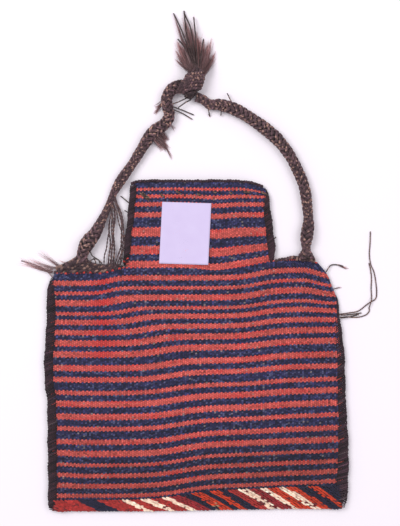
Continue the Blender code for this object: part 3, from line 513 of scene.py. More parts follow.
def woven_wall(name, outer_side, seed):
    """One wall of the bag as a closed body: beads outside, plain inside, edges turned over."""
    heights, x, w, cells = cloth_grid()
    rows, columns = x.shape
    flat = place(x, w)
    floor_z, pocket_floor, ceiling, top, slack, seam = wall_heights(x, w)
    row, column = np.indices(x.shape)
    rng = np.random.default_rng(seed)
    # a weft is high where it crosses over a warp, lower where it dives under one, lowest in between
    crossing = np.where(column % 2 == 1, np.where((column // 2 + row) % 2 == 0, 1.0, -0.15), -0.75)
    woven = ease((w - HEM_BAND + 0.002) / 0.004)
    relief = BEAD * crossing * (1 + 0.18 * rng.normal(size=x.shape)) * woven
    relief = relief - EDGE_ROUNDING * (1 - ease(seam / 0.0016))
    if outer_side > 0:
        outer = top + WEFT_RIDGE * stripe_crest(w) * slack + relief - round_fold(w)
        inner = np.where(w < CLOTH, CLOTH, ceiling)
    else:
        outer = np.maximum(floor_z + BEAD * 1.5 - relief * 1.2 + round_fold(w), 0.0001)
        inner = pocket_floor
    exists = np.zeros(x.shape, bool)
    inside = np.ones(x.shape, bool)
    for dr, dc in ((0, 0), (0, 1), (1, 0), (1, 1)):
        shifted = np.zeros(x.shape, bool)
        shifted[dr:rows - 1 + dr, dc:columns - 1 + dc] = cells
        exists |= shifted
        inside &= shifted
    keep_rows = kept_lines(rows, LINING_ROWS, [int(np.argmin(np.abs(heights - BODY_HEIGHT)))])
    keep_columns = kept_lines(columns, LINING_COLUMNS, NECK_COLUMNS)
    lower = exists & (~inside | (keep_rows[:, None] & keep_columns[None, :]))
    outer_id = np.full(x.shape, -1)
    outer_id[exists] = np.arange(exists.sum())
    inner_id = np.full(x.shape, -1)
    inner_id[lower] = exists.sum() + np.arange(lower.sum())
    points = np.concatenate([np.column_stack([flat[exists], outer[exists]]),
                             np.column_stack([flat[lower], inner[lower]])])

    # the woven side, each quad in the colour of its bead, with painted shade towards the bead's hollows and a
    # painted highlight on its top
    r, c = np.nonzero(cells)
    faces = np.stack([outer_id[r, c], outer_id[r, c + 1], outer_id[r + 1, c + 1], outer_id[r + 1, c]], axis=1)
    rib = c // 2
    bead_row = np.where((rib + r) % 2 == 0, r, r + 1)
    wool = wool_tints(heights, columns, seed)
    painted_relief_light = np.where(crossing > 0.5, CREST_HIGHLIGHT, np.where(crossing > -0.5, UNDER_SHADE, VALLEY_SHADE))
    painted_relief_light = mix(1.0, painted_relief_light, woven)
    bead_tints = wool[bead_row, np.minimum(rib, wool.shape[1] - 1)]
    # painted shade: the cloth seen in the gaps between the hem's wraps takes the colours of the wraps over it,
    # crimson under cream, darkened to 0.6
    under_wraps = np.array([BAND_COLOURS["crimson" if kind == "cream" else kind] for kind, _ in BAND_MM])
    band = under_wraps[band_wool(x[r, c], w[r, c])]
    bead_tints = np.where((heights[r] < HEM_BAND - 1e-6)[:, None], band * 0.6, bead_tints)
    corner_rows, corner_columns = np.stack([r, r, r + 1, r + 1], axis=1), np.stack([c, c + 1, c + 1, c], axis=1)
    tints = [(bead_tints[:, None] * painted_relief_light[corner_rows, corner_columns][..., None]).reshape(-1, 3)]
    polygons = [faces]

    # the rim, from the woven side down to the plain one
    padded = np.zeros((rows + 1, columns + 1), bool)
    padded[1:rows, 1:columns] = cells
    rim = []
    for r, c in zip(*np.nonzero(cells)):
        corners = ((r, c), (r, c + 1), (r + 1, c + 1), (r + 1, c))
        beside = (padded[r, c + 1], padded[r + 1, c + 2], padded[r + 2, c + 1], padded[r + 1, c])
        for k in range(4):
            if not beside[k]:
                a, b = corners[k], corners[(k + 1) % 4]
                rim.append((outer_id[b], outer_id[a], inner_id[a], inner_id[b]))
    polygons.append(np.array(rim))
    tints.append(np.tile(np.array(NAVY), (4 * len(rim), 1)))

    # the plain inside, a few large faces that share the rim's points
    lining, lining_tints = {}, {}
    kept_rows, kept_columns = np.nonzero(keep_rows)[0], np.nonzero(keep_columns)[0]
    for low, high in zip(kept_rows, kept_rows[1:]):
        colour = RED if in_red((heights[low] + heights[high]) / 2) else NAVY
        for left, right in zip(kept_columns, kept_columns[1:]):
            if not cells[low, left]:
                continue
            ring = [*inner_id[low, left:right], *inner_id[low:high, right],
                    *inner_id[high, right:left:-1], *inner_id[high:low:-1, left]]
            ring = [spot for spot in ring if spot >= 0]
            lining.setdefault(len(ring), []).append(ring[::-1])
            lining_tints.setdefault(len(ring), []).append(colour)
    for size, rings in lining.items():
        polygons.append(np.array(rings))
        tints.append(np.repeat(np.array(lining_tints[size]), size, axis=0))
    if outer_side < 0:
        polygons = [group[:, ::-1] for group in polygons]
        tints[0] = tints[0].reshape(-1, 4, 3)[:, ::-1].reshape(-1, 3)
    return shape(name, points, polygons, np.concatenate(tints), cloth_wool.material)


cloth_wool = Finish("weft_faced_wool", roughness=0.88, Sheen_Weight=0.12, Sheen_Roughness=0.5)
fibres = cloth_wool.noise(cloth_wool.place((1, 7, 3)), 420, 4.0)
cloudy = cloth_wool.noise(cloth_wool.place(), 26, 2.0)
dye_and_painted_shade = cloth_wool.node("Attribute", attribute_name="tint")
# the tint holds the wool's colour together with the painted shade and highlight of the weave
cloth_wool.feed(Base_Color=dye_and_painted_shade * (fibres * 0.75 + cloudy * 0.35 + 0.42),
                Roughness=0.80 + fibres * 0.18)
cloth_wool.bump(fibres, 0.00025, 0.8)

back_wall = woven_wall("cloth_back_wall", 1, 11)
front_wall = woven_wall("cloth_front_wall", -1, 23)
for wall in (back_wall, front_wall):
    hand_over(wall, ["bag_cloth"])

# Side bindings: dark brown wool overcast round the closed edges, so that each edge is a roll of
# slanting stitches. The left one stops below the shoulder, the right one where the corner turns in.

BINDING_WIDTH = 0.0145
BINDING_HEIGHT = 0.0094
BINDING_GRIP = 0.0085       # how far a stitch reaches in over the cloth
RIGHT_EXTRA = 0.0055        # how much wider the right side's stitches are
NECK_BINDING_WIDTH = 0.0120
NECK_BINDING_GRIP = 0.0075
STITCH_STEP = 0.0025
STITCH_PLY = 0.00080        # radius of one of a stitch's two yarns
STITCH_PLY_REACH = 0.00062  # from the stitch's middle line to each yarn's
STITCH_SIDES = 5
STITCH_LEAN = 0.0150        # how far a stitch travels along the edge while it goes round it
BROWN_BLACK = (0.029, 0.0135, 0.0195)
BINDING_FLECK = (0.075, 0.048, 0.056)
FLECK_SHARE = 0.02


def tubes(lines, radii, sides):
    """Points and polygons of closed round yarns: lines is (yarns, places, 3) and radii (yarns, places)."""
    count, length, _ = lines.shape
    radii = np.broadcast_to(np.asarray(radii, float), (count, length))
    run = np.gradient(lines, axis=1)
    run /= np.linalg.norm(run, axis=2, keepdims=True) + 1e-12
    aside = np.cross(run, np.array([0.12, 0.05, 0.99]))
    aside /= np.linalg.norm(aside, axis=2, keepdims=True) + 1e-12
    up = np.cross(aside, run)
    angle = 2 * pi * np.arange(sides) / sides
    ring = aside[:, :, None] * np.cos(angle)[:, None] + up[:, :, None] * np.sin(angle)[:, None]
    points = (lines[:, :, None] + ring * radii[:, :, None, None]).reshape(-1, 3)
    index = np.arange(count * length * sides).reshape(count, length, sides)
    ahead = np.roll(index, -1, axis=2)
    walls = np.stack([index[:, :-1], ahead[:, :-1], ahead[:, 1:], index[:, 1:]], axis=-1).reshape(-1, 4)
    caps = np.concatenate([index[:, 0, ::-1], index[:, -1]])
    return points, [walls, caps]


def arc_length(line):
    """Distance along a line up to each of its places."""
    return np.concatenate([[0], np.cumsum(np.linalg.norm(np.diff(line, axis=0), axis=1))])


def frame_along(line):
    """Distance along a line and the two directions across it."""
    run = np.gradient(line, axis=0)
    run /= np.linalg.norm(run, axis=1, keepdims=True)
    aside = np.cross(run, np.array([0.0, 0.0, 1.0]))
    aside /= np.linalg.norm(aside, axis=1, keepdims=True)
    return arc_length(line), aside, np.cross(aside, run)


def twist(line, radius, plies, pitch, start=0.0):
    """Lines of the plies that are laid round a line."""
    s, aside, up = frame_along(line)
    made = []
    for k in range(plies):
        angle = 2 * pi * (s / pitch + k / plies) + start
        made.append(line + aside * (radius * np.cos(angle))[:, None] + up * (radius * np.sin(angle))[:, None])
    return np.array(made)


def smooth_line(points, spacing):
    """Evenly spaced places on a smooth curve through the points."""
    points = np.asarray(points, float)
    last = len(points) - 1
    dense = []
    for i in range(last):
        p0, p1, p2, p3 = (points[k] for k in (max(i - 1, 0), i, i + 1, min(i + 2, last)))
        s = np.arange(24)[:, None] / 24
        dense.append(0.5 * (2 * p1 + (p2 - p0) * s + (2 * p0 - 5 * p1 + 4 * p2 - p3) * s ** 2
                            + (3 * p1 - p0 - 3 * p2 + p3) * s ** 3))
    dense = np.concatenate(dense + [points[-1:]])
    run = arc_length(dense)
    at = np.linspace(0, run[-1], max(3, round(run[-1] / spacing) + 1))
    return np.stack([np.interp(at, run, values) for values in dense.T], axis=1)


def run_length(line):
    return float(np.linalg.norm(np.diff(line, axis=0), axis=1).sum())


SEAT_VECTORS = ("ahead", "outward", "growth")


def stitch_tree():
    """Nodes that lay one stitch on every point of a mesh, turned to the edge that it binds."""
    tree = bpy.data.node_groups.new("lay_stitches", "GeometryNodeTree")
    for label, kind in (("Seats", "Geometry"), ("Stitch", "Object"), ("Wool", "Material")):
        tree.interface.new_socket(label, in_out="INPUT", socket_type="NodeSocket" + kind)
    tree.interface.new_socket("Stitches", in_out="OUTPUT", socket_type="NodeSocketGeometry")

    def add(kind, **settings):
        made = tree.nodes.new(kind)
        for setting, value in settings.items():
            setattr(made, setting, value)
        return made

    entry, leave = add("NodeGroupInput"), add("NodeGroupOutput")
    vectors = {}
    for label in SEAT_VECTORS:
        named = add("GeometryNodeInputNamedAttribute", data_type="FLOAT_VECTOR")
        named.inputs["Name"].default_value = label
        vectors[label] = named.outputs["Attribute"]
    axes = add("FunctionNodeAxesToRotation", primary_axis="X", secondary_axis="Z")
    stitch = add("GeometryNodeObjectInfo")
    lay = add("GeometryNodeInstanceOnPoints")
    realize = add("GeometryNodeRealizeInstances")
    dress = add("GeometryNodeSetMaterial")
    for source, target in (
            (vectors["ahead"], axes.inputs["Primary Axis"]),
            (vectors["outward"], axes.inputs["Secondary Axis"]),
            (entry.outputs["Stitch"], stitch.inputs["Object"]),
            (entry.outputs["Seats"], lay.inputs["Points"]),
            (stitch.outputs["Geometry"], lay.inputs["Instance"]),
            (axes.outputs["Rotation"], lay.inputs["Rotation"]),
            (vectors["growth"], lay.inputs["Scale"]),
            (lay.outputs["Instances"], realize.inputs["Geometry"]),
            (realize.outputs["Geometry"], dress.inputs["Geometry"]),
            (entry.outputs["Wool"], dress.inputs["Material"]),
            (dress.outputs["Geometry"], leave.inputs["Stitches"])):
        tree.links.new(source, target)
    return tree


STITCH_TREE = stitch_tree()


def lay_stitches(name, stitch, seats, ahead, growth, tints, painted_shading, material):
    """One mesh of a stitch, given by its points and polygons, laid on every seat, along ahead and face up.

    The painted shading, one factor for each point of the stitch, puts painted shade where it goes down into the
    cloth and a painted highlight over its top."""
    pattern_mesh = bpy.data.meshes.new(name + "_stitch")
    points, polygons = stitch
    pattern_mesh.from_pydata(points.tolist(), [], [face for group in polygons for face in group.tolist()])
    pattern = linked(name + "_stitch", pattern_mesh)
    count = len(seats)
    mesh = bpy.data.meshes.new(name + "_seats")
    mesh.vertices.add(count)
    mesh.vertices.foreach_set("co", np.asarray(seats, np.float32).ravel())
    for label, values in zip(SEAT_VECTORS, (ahead, (0, 0, 1), growth)):
        values = np.broadcast_to(np.asarray(values, np.float32), (count, 3))
        mesh.attributes.new(label, "FLOAT_VECTOR", "POINT").data.foreach_set("vector", values.ravel())
    tint_mesh(mesh, tints, "POINT")
    seat_object = linked(name + "_seats", mesh)
    layer = seat_object.modifiers.new("stitches", "NODES")
    layer.node_group = STITCH_TREE
    named = {item.name: item.identifier for item in STITCH_TREE.interface.items_tree
             if item.in_out == "INPUT"}
    layer[named["Stitch"]] = pattern
    layer[named["Wool"]] = material
    graph = bpy.context.evaluated_depsgraph_get()
    made = bpy.data.meshes.new_from_object(seat_object.evaluated_get(graph))
    made.name = name
    # painted shade and highlight: the stitches' tints are multiplied by the painted shading of their points
    wear_and_painted_shade = np.empty(4 * len(made.vertices), np.float32)
    made.attributes["tint"].data.foreach_get("color", wear_and_painted_shade)
    wear_and_painted_shade = wear_and_painted_shade.reshape(-1, 4)
    wear_and_painted_shade[:, :3] *= np.tile(painted_shading, count)[:, None]
    made.attributes["tint"].data.foreach_set("color", wear_and_painted_shade.ravel())
    for label in SEAT_VECTORS:
        if label in made.attributes:
            made.attributes.remove(made.attributes[label])
    bpy.data.objects.remove(seat_object)
    bpy.data.objects.remove(pattern)
    made.shade_smooth()
    return linked(name, made)


def edge_run(side, low, high, step, in_neck):
    """Places along a bound edge, the direction along it, and the one away from the cloth."""
    w = np.linspace(low, high, max(2, round((high - low) / step)) + 1)

    def at(height):
        if in_neck:
            return place(NECK_SHIFT + side * neck_half(height), height)
        return place(selvedge(side, np.minimum(height, BODY_HEIGHT)), height)

    ahead = at(w + 0.004) - at(w - 0.004)
    ahead /= np.linalg.norm(ahead, axis=1, keepdims=True)
    outward = np.stack([ahead[:, 1], -ahead[:, 0]], axis=1) * side
    return at(w), ahead, outward


def yarn_finish(name, stretch, scale, detail, contrast, rough, bump, sheen):
    """Wool or hair in its pieces' tints, which on the stitches, wraps, straps and knot also hold painted shade
    and highlight, varied along the yarn by a fine grain.
    """
    finish = Finish(name, Sheen_Weight=sheen[0], Sheen_Roughness=sheen[1])
    grain = finish.noise(finish.place(stretch), scale, detail)
    own = finish.node("Attribute", attribute_name="tint")
    finish.feed(Base_Color=own * (grain * contrast[0] + contrast[1]), Roughness=rough[0] + grain * rough[1])
    finish.bump(grain, *bump)
    return finish


binding_wool = yarn_finish("overcast_wool", (1, 1, 1), 900, 3.0, (1.1, 0.45), (0.82, 0.15), (0.0003, 0.9),
                           (0.12, 0.5))


def overcast(name, node, side, low, high, width, grip, in_neck, seed, girth):
    """Roll of slanting two-ply stitches that closes one edge; girth is its (share of run, size) table."""
    rng = np.random.default_rng(seed)
    seats, ahead, outward = edge_run(side, low, high, STITCH_STEP, in_neck)
    start = radians(150)
    angle = np.linspace(start, -start, 26)
    full = np.sign(np.sin(angle)) * np.abs(np.sin(angle)) ** 0.65
    loop = np.stack([-STITCH_LEAN * (angle / start) * 0.5 * side,
                     -side * (width / 2 - grip + width / 2 * 0.88 * np.cos(angle)),
                     BINDING_HEIGHT / 2 * 0.72 * full], axis=1)
    stitch = tubes(twist(loop, STITCH_PLY_REACH, 2, 0.0052), STITCH_PLY, STITCH_SIDES)
    # painted shade and highlight: each stitch darker where it goes down into the cloth and lighter over its top
    painted_shading = 0.45 + 0.75 * np.sin(np.clip(angle + 0.5, 0.0, pi)) ** 0.8
    painted_shading = np.tile(np.repeat(painted_shading, STITCH_SIDES), 2)
    count = len(seats)
    number = np.arange(count)
    slimming = through(girth, np.linspace(0, 1, count))
    low_slimming = np.minimum(1, slimming + 0.25)
    leaning = mix(0.15, 1, ease(number * STITCH_STEP / 0.012))
    leaning = leaning * mix(0.4, 1, ease(number[::-1] * STITCH_STEP / 0.010))
    seats = np.column_stack([seats, BINDING_HEIGHT / 2 * low_slimming])
    seats[:, :2] += ahead * rng.normal(0, 0.00025, (count, 1))
    wave = 0.00045 * np.sin(number[:, None] * 0.41 + seed)
    seats[:, :2] += outward * (rng.normal(0, 0.00022, (count, 1)) + wave)
    ahead = np.column_stack([ahead + outward * rng.normal(0, 0.03, (count, 1)), np.zeros(count)])
    growth = np.stack([leaning, slimming * rng.normal(1, 0.03, count),
                       low_slimming * rng.normal(1, 0.03, count)], axis=1)
    tints = np.array(BROWN_BLACK) * np.exp(0.42 * rng.normal(size=(count, 1)))
    tints = np.where(rng.uniform(size=(count, 1)) < FLECK_SHARE, np.array(BINDING_FLECK), tints)
    roll = lay_stitches(name, stitch, seats, ahead, growth, np.clip(tints, 0.004, 1), painted_shading,
                        binding_wool.material)
    hand_over(roll, [node])


overcast("left_side_overcasting", "left_side_binding", -1, 0.002, 0.972 * BODY_HEIGHT,
         BINDING_WIDTH, BINDING_GRIP, False, 3,
         ((0, 0.7), (0.03, 1), (0.90, 1), (0.93, 0.85), (0.96, 0.62), (1, 0.35)))
overcast("right_side_overcasting", "right_side_binding", 1, 0.002, 0.875 * BODY_HEIGHT,
         BINDING_WIDTH + RIGHT_EXTRA, BINDING_GRIP + 0.0045, False, 5,
         ((0, 0.7), (0.03, 1), (0.12, 0.98), (0.42, 0.74), (0.83, 0.60), (0.93, 0.45), (1, 0.16)))
overcast("left_neck_overcasting", "left_neck_binding", -1, BODY_HEIGHT - 0.001, TOTAL_HEIGHT - 0.002,
         NECK_BINDING_WIDTH - 0.0022, NECK_BINDING_GRIP - 0.0014, True, 7,
         ((0, 0.6), (0.05, 1), (0.5, 1), (0.92, 1), (1, 0.8)))
overcast("right_neck_overcasting", "right_neck_binding", 1, BODY_HEIGHT - 0.006, TOTAL_HEIGHT - 0.002,
         NECK_BINDING_WIDTH, NECK_BINDING_GRIP, True, 9,
         ((0, 0.25), (0.08, 0.6), (0.22, 0.95), (0.5, 1), (0.68, 0.93), (0.82, 0.76), (1, 0.45)))

# Hem band above the fold: short slanting wraps of thick wool over the warps, in diagonal stripes of
# red, indigo, orange and undyed cream. Some of the cream ones are worn away at the fold.

WRAP_LENGTH = 0.0074
WRAP_YARN = 0.00112         # radius
WRAP_ARCH = 0.0013          # how far a wrap's middle stands over its ends
WRAP_ROWS = 15
WRAP_ROW = 0.0019
WRAP_SPACE = 0.0052
WRAP_LEAN = -21             # degrees
ODD_WOOL = (0.15, 0.02, 0.025)      # of single darker wraps
TAN_WOOL = (0.36, 0.24, 0.13)       # of a few wraps by the fold
TAN_AT = 0.030

wrapped_wool = yarn_finish("wrapped_wool", (1, 3.5, 3), 700, 3.0, (0.8, 0.60), (0.80, 0.15), (0.0003, 0.8),
                           (0.12, 0.5))


def hem_band():
    rng = np.random.default_rng(41)
    left, right = (float(selvedge(side, np.array(BAND_ENDS_AT))) for side in (-1, 1))
    kinds = np.array([kind for kind, _ in BAND_MM])
    wools = np.array([BAND_COLOURS[kind] for kind in kinds])
    seats, tints, growth, kept = [], [], [], []
    for row in range(WRAP_ROWS):
        w = HEM_BAND - 0.0004 - row * WRAP_ROW
        stagger = (row * 0.5 * WRAP_SPACE + 0.0011 * (row // 2)) % WRAP_SPACE
        xs = np.arange(left + 0.0045, right - 0.004, WRAP_SPACE) + stagger
        xs = xs + rng.normal(0, 0.00035, len(xs))
        xs = xs[xs < right - 0.004]
        count = len(xs)
        index = band_wool(xs, np.full_like(xs, w))
        ws = np.maximum(np.full_like(xs, max(w, 0.0006)) + rng.normal(0, 0.00015, count), 0.0003)
        seats.append(np.column_stack([place(xs, ws), upper_side(xs, ws) - round_fold(ws) + 0.0002]))
        colours = wools[index] * np.exp(0.17 * rng.normal(size=(count, 1)))
        colours[(rng.uniform(size=count) < 0.05) & (colours[:, 0] > 0.2)] = ODD_WOOL
        by_tan = (np.abs(xs - TAN_AT) < 0.006) & (w < 0.010)
        colours[by_tan & (rng.uniform(size=count) < 0.35)] = TAN_WOOL
        tints.append(colours)
        cream = kinds[index] == "cream"
        # growth: along the wrap, across it and upwards; cream wraps are thicker
        growth.append(np.column_stack([1 + 0.12 * rng.normal(size=count),
                                       1 + 0.10 * rng.normal(size=count) + 0.25 * cream,
                                       1 + 0.2 * rng.normal(size=count) + 0.3 * cream]))
        kept.append((rng.uniform(size=count) > 0.40) | ~cream | (w > 0.007))
    kept = np.concatenate(kept)
    seats, tints, growth = (np.concatenate(group)[kept] for group in (seats, tints, growth))
    share = np.linspace(-1, 1, 9)
    spindle = np.stack([share * WRAP_LENGTH / 2, 0 * share, WRAP_ARCH * (1 - share ** 2)], axis=1)
    points, polygons = tubes(spindle[None], WRAP_YARN * np.sqrt(np.maximum(1 - share ** 4, 0.02))[None], 6)
    points[:, 2] *= 0.9
    # painted shade and highlight: each wrap darker at its ends, where it goes down, and lighter over its middle
    painted_shading = np.repeat(0.62 + 0.46 * (1 - share ** 2) ** 0.7, 6)
    lean = radians(WRAP_LEAN) + rng.normal(0, 0.08, len(seats))
    ahead = np.stack([np.cos(lean), np.sin(lean), 0 * lean], axis=1)
    band = lay_stitches("hem_band_wraps", (points, polygons), seats, ahead, growth, np.clip(tints, 0.004, 0.98),
                        painted_shading, wrapped_wool.material)
    hand_over(band)


hem_band()

# Mouth: a thin cord of dark wool finishes each lip of the neck, from one neck binding to the other. It
# is twined from two yarns.

MOUTH_CORD = 0.0038
MOUTH_PLY = 0.00116         # radius of one of its two yarns
MOUTH_PASS = 0.002          # how far the cord goes past the neck's edges


def strand_tints(rng, strands, places, base, fleck, share, run):
    """Colours along the strands of a hair yarn: mixed hairs, with lighter ones here and there."""
    tone = slow_wander(rng, strands, places, max(3, places // 7)) * 0.35
    flecks = rng.uniform(size=(strands, places // run + 2)) < share
    flecks = np.repeat(flecks, run, axis=1)[:, :places]
    light = rng.uniform(0.35, 1.0, (strands, places)) * flecks
    colours = np.array(base) * np.exp(tone[..., None] + 0.38 * rng.normal(size=(strands, places, 1)))
    return np.clip(mix(colours, np.array(fleck), light[..., None]), 0.003, 0.9)


def yarn_object(name, groups, sides, material, replaces=()):
    """Mesh of yarns; each group holds their lines (yarns, places, 3), their radii and their colours."""
    points, walls, caps, tints, first = [], [], [], [], 0
    for lines, radii, colours in groups:
        made, faces = tubes(lines, radii, sides)
        points.append(made)
        walls.append(faces[0] + first)
        caps.append(faces[1] + first)
        first += len(made)
        tints.append(np.repeat(colours.reshape(-1, 3), sides, axis=0))
    polygons = [np.concatenate(walls), np.concatenate(caps)]
    thing = shape(name, np.concatenate(points), polygons, np.concatenate(tints), material)
    hand_over(thing, replaces)
    return thing


half_mouth = float(neck_half(np.array(TOTAL_HEIGHT)))
mouth_ends = (NECK_SHIFT - half_mouth, NECK_SHIFT + half_mouth)
lip_x = np.linspace(mouth_ends[0] - MOUTH_PASS, mouth_ends[1] + MOUTH_PASS, 90)[:-3]
inside = np.clip(lip_x, *mouth_ends)
lip_y = place(inside, TOTAL_HEIGHT)[:, 1] + MOUTH_CORD / 2
low_z, pocket_z, ceiling_z, top_z, _, _ = wall_heights(inside, np.full_like(inside, TOTAL_HEIGHT))
front_z = np.maximum(MOUTH_CORD / 2 + 0.0002, (low_z + pocket_z) / 2 - 0.0006)
back_z = np.maximum((ceiling_z + top_z) / 2 + 0.0004, front_z + MOUTH_CORD + 0.0003)
for lip_name, lip_z, seed in (("front", front_z, 62), ("back", back_z, 61)):
    rng = np.random.default_rng(seed)
    lip_line = smooth_line(np.column_stack([lip_x, lip_y, lip_z]), 0.0010)
    lip_line[:, 1] += 0.0007 * slow_wander(rng, 1, len(lip_line), 34)[0]
    plies = twist(lip_line, 0.00115, 2, 0.0078)
    plies[:, :, 2] = np.maximum(plies[:, :, 2], 0.0014)
    cord_tints = strand_tints(rng, 2, plies.shape[1], np.array(BROWN_BLACK) * 1.5, BINDING_FLECK, 0.15, 5)
    thickness = MOUTH_PLY * (1 + 0.16 * slow_wander(rng, 2, plies.shape[1], 60))
    yarn_object("mouth_twining_" + lip_name, [(plies, thickness, cord_tints)], 6, binding_wool.material,
                ["mouth_cord_" + lip_name])

# Straps: each a round braid of goat hair yarns, brown and grey with lighter hairs among them. They
# leave the two shoulders and meet in the knot above the neck.

HAIR_BROWN = (0.060, 0.032, 0.037)
HAIR_TAN = (0.36, 0.215, 0.165)
HAIR_GREY = (0.135, 0.088, 0.090)

LEFT_STRAP_MM = (
    (-163, 132), (-155, 148), (-145, 160), (-132, 186), (-115, 225), (-89, 264), (-65, 301),
    (-46, 316), (-39, 328), (-41, 340), (-43, 350), (-41, 358), (-36, 365), (-27, 371),
)
RIGHT_STRAP_MM = (
    (157, 150), (160, 182), (155, 221), (141, 259), (117, 293), (83, 321), (58, 336), (33, 344.5),
    (19, 345),
)
STRAP = 0.0190
STRAP_PITCH = 0.046         # one turn of a strand round the braid
BRAID_STRANDS = 6           # each way round
BRAID_YARN = 0.00115
BRAID_LIFT = 0.0009         # how far a strand rises where it goes over
BRAID_FLAT = 0.86
KNOT_FOOT = np.array((-0.012, 0.354))
KNOT_HEAD = np.array((0.002, 0.394))
KNOT_RADIUS = 0.0138
KNOT_AXIS = (KNOT_HEAD - KNOT_FOOT) / np.linalg.norm(KNOT_HEAD - KNOT_FOOT)
KNOT_ACROSS = np.array((KNOT_AXIS[1], -KNOT_AXIS[0]))

goat_hair = yarn_finish("goat_hair", (1, 1, 1), 1100, 4.0, (1.5, 0.25), (0.62, 0.25), (0.0004, 1.0),
                        (0.15, 0.4))


def round_braid(line, radius, pitch):
    """Yarns of a round braid, each strand a pair of yarns that goes over two and under two, and how far
    each place is raised, from -1 to 1."""
    s, aside, up = frame_along(line)
    middle = np.broadcast_to(radius, s.shape) - BRAID_YARN - BRAID_LIFT
    turn = 2 * pi * s / pitch
    made, raised = [], []
    for way in (1, -1):
        for k in range(BRAID_STRANDS):
            weave = way * np.clip(1.5 * np.cos(way * BRAID_STRANDS * turn / 2 + pi * k - pi / 4), -1, 1)
            for half in (-1, 1):
                angle = 2 * pi * k / BRAID_STRANDS + way * turn + half * BRAID_YARN * 1.02 / middle
                reach = middle + BRAID_LIFT * weave
                made.append(line + aside * (reach * np.cos(angle))[:, None]
                            + up * (BRAID_FLAT * reach * np.sin(angle))[:, None])
                raised.append(weave)
    return np.array(made), np.array(raised)


def strap(name, node, route, radii, seed):
    """One braided strap along its route; radii are (share of its length, radius) pairs."""
    rng = np.random.default_rng(seed)
    line = smooth_line(route, 0.0013)
    radius = np.interp(np.linspace(0, 1, len(line)), *np.array(radii).T)
    radius = radius * (1 + 0.07 * slow_wander(rng, 1, len(line), 15)[0])
    line = np.column_stack([line, radius * BRAID_FLAT + 0.0004])
    line[:, :2] += 0.0005 * np.array([slow_wander(rng, 1, len(line), 12)[0] for _ in range(2)]).T
    yarns, raised = round_braid(line, radius, STRAP_PITCH)
    thick = 0.00118 * (0.55 + 0.45 * radius / 0.0094) * (1 + 0.12 * rng.normal(size=(len(yarns), 1)))
    yarns = np.concatenate([yarns, line[None]])                     # the core that the yarns go round
    thick = np.concatenate([thick, (radius * 0.62)[None]])
    yarns[:, :, 2] = np.maximum(yarns[:, :, 2], np.minimum(thick, 0.003) + 0.0002)
    tints = strand_tints(rng, len(yarns), yarns.shape[1], HAIR_BROWN, HAIR_TAN, 0.15, 1)
    # painted light and shade: each strand lighter where it rises over the others and darker where it sinks under
    # them
    tints[:-1] *= (0.95 + 0.60 * raised)[..., None]
    # painted shade: the core, seen only in the gaps between the strands, is darkened to 0.4 of the hair's brown
    tints[-1] = np.array(HAIR_BROWN) * 0.4
    braid = yarn_object(name, [(yarns, thick, tints)], 6, goat_hair.material, [node])
    return braid, line


left_entry = mix(KNOT_FOOT, KNOT_HEAD, 0.45) - KNOT_ACROSS * 0.0080
left_strap, left_line = strap(
    "left_strap_braid", "strap_left",
    [(-0.163, 0.1176)] + [np.array(p) / 1000 for p in LEFT_STRAP_MM] + [left_entry],
    ((0, 0.0078), (0.045, 0.0086), (0.09, 0.0110), (0.145, 0.0094), (0.21, 0.0072), (0.27, 0.0056),
     (0.33, 0.0054), (0.37, 0.0064), (0.45, 0.0082), (0.52, 0.0068), (0.62, 0.0088), (0.72, 0.0094),
     (0.85, 0.0082), (0.93, 0.0086), (1, 0.0078)), 71)
right_entry = mix(KNOT_FOOT, KNOT_HEAD, 0.12) + KNOT_ACROSS * 0.0105
right_strap, right_line = strap(
    "right_strap_braid", "strap_right",
    [(0.1575, 0.1225)] + [np.array(p) / 1000 for p in RIGHT_STRAP_MM]
    + [right_entry + KNOT_ACROSS * 0.010, right_entry],
    ((0, 0.0112), (0.025, 0.0086), (0.05, 0.0068), (0.10, 0.0101), (0.14, 0.0096), (0.19, 0.0078),
     (0.25, 0.0078), (0.31, 0.0084), (0.41, 0.0083), (0.5, 0.0090), (0.6, 0.0090), (0.85, 0.0092),
     (0.915, 0.0080), (0.95, 0.0070), (1, 0.0074)), 72)

# Knot: the two straps are tied together and served with turns of their own yarn; above it their
# unspun ends fan out as a tassel of pointed locks.

KNOT_PROFILE = ((0.0, 0.45), (0.12, 0.72), (0.26, 0.90), (0.42, 0.96), (0.58, 1.0), (0.74, 0.97),
                (0.84, 0.90), (0.92, 0.80), (1.0, 0.66))
KNOT_MIDDLE = KNOT_RADIUS * 0.90     # height of its axis
KNOT_PLACES = 90            # along each of its yarns


def knot_girth(share):
    return KNOT_RADIUS * np.interp(share, *np.array(KNOT_PROFILE).T)


def knot_surface(share, angle, grow):
    """Point of the knot's surface at a share of its length and an angle round its axis."""
    share, angle = np.broadcast_arrays(np.asarray(share, float), np.asarray(angle, float))
    radius = knot_girth(share) * grow
    flat = mix(KNOT_FOOT, KNOT_HEAD, share[..., None]) + KNOT_ACROSS * (radius * np.cos(angle))[..., None]
    return np.column_stack([flat, KNOT_MIDDLE + radius * 0.88 * np.sin(angle)])


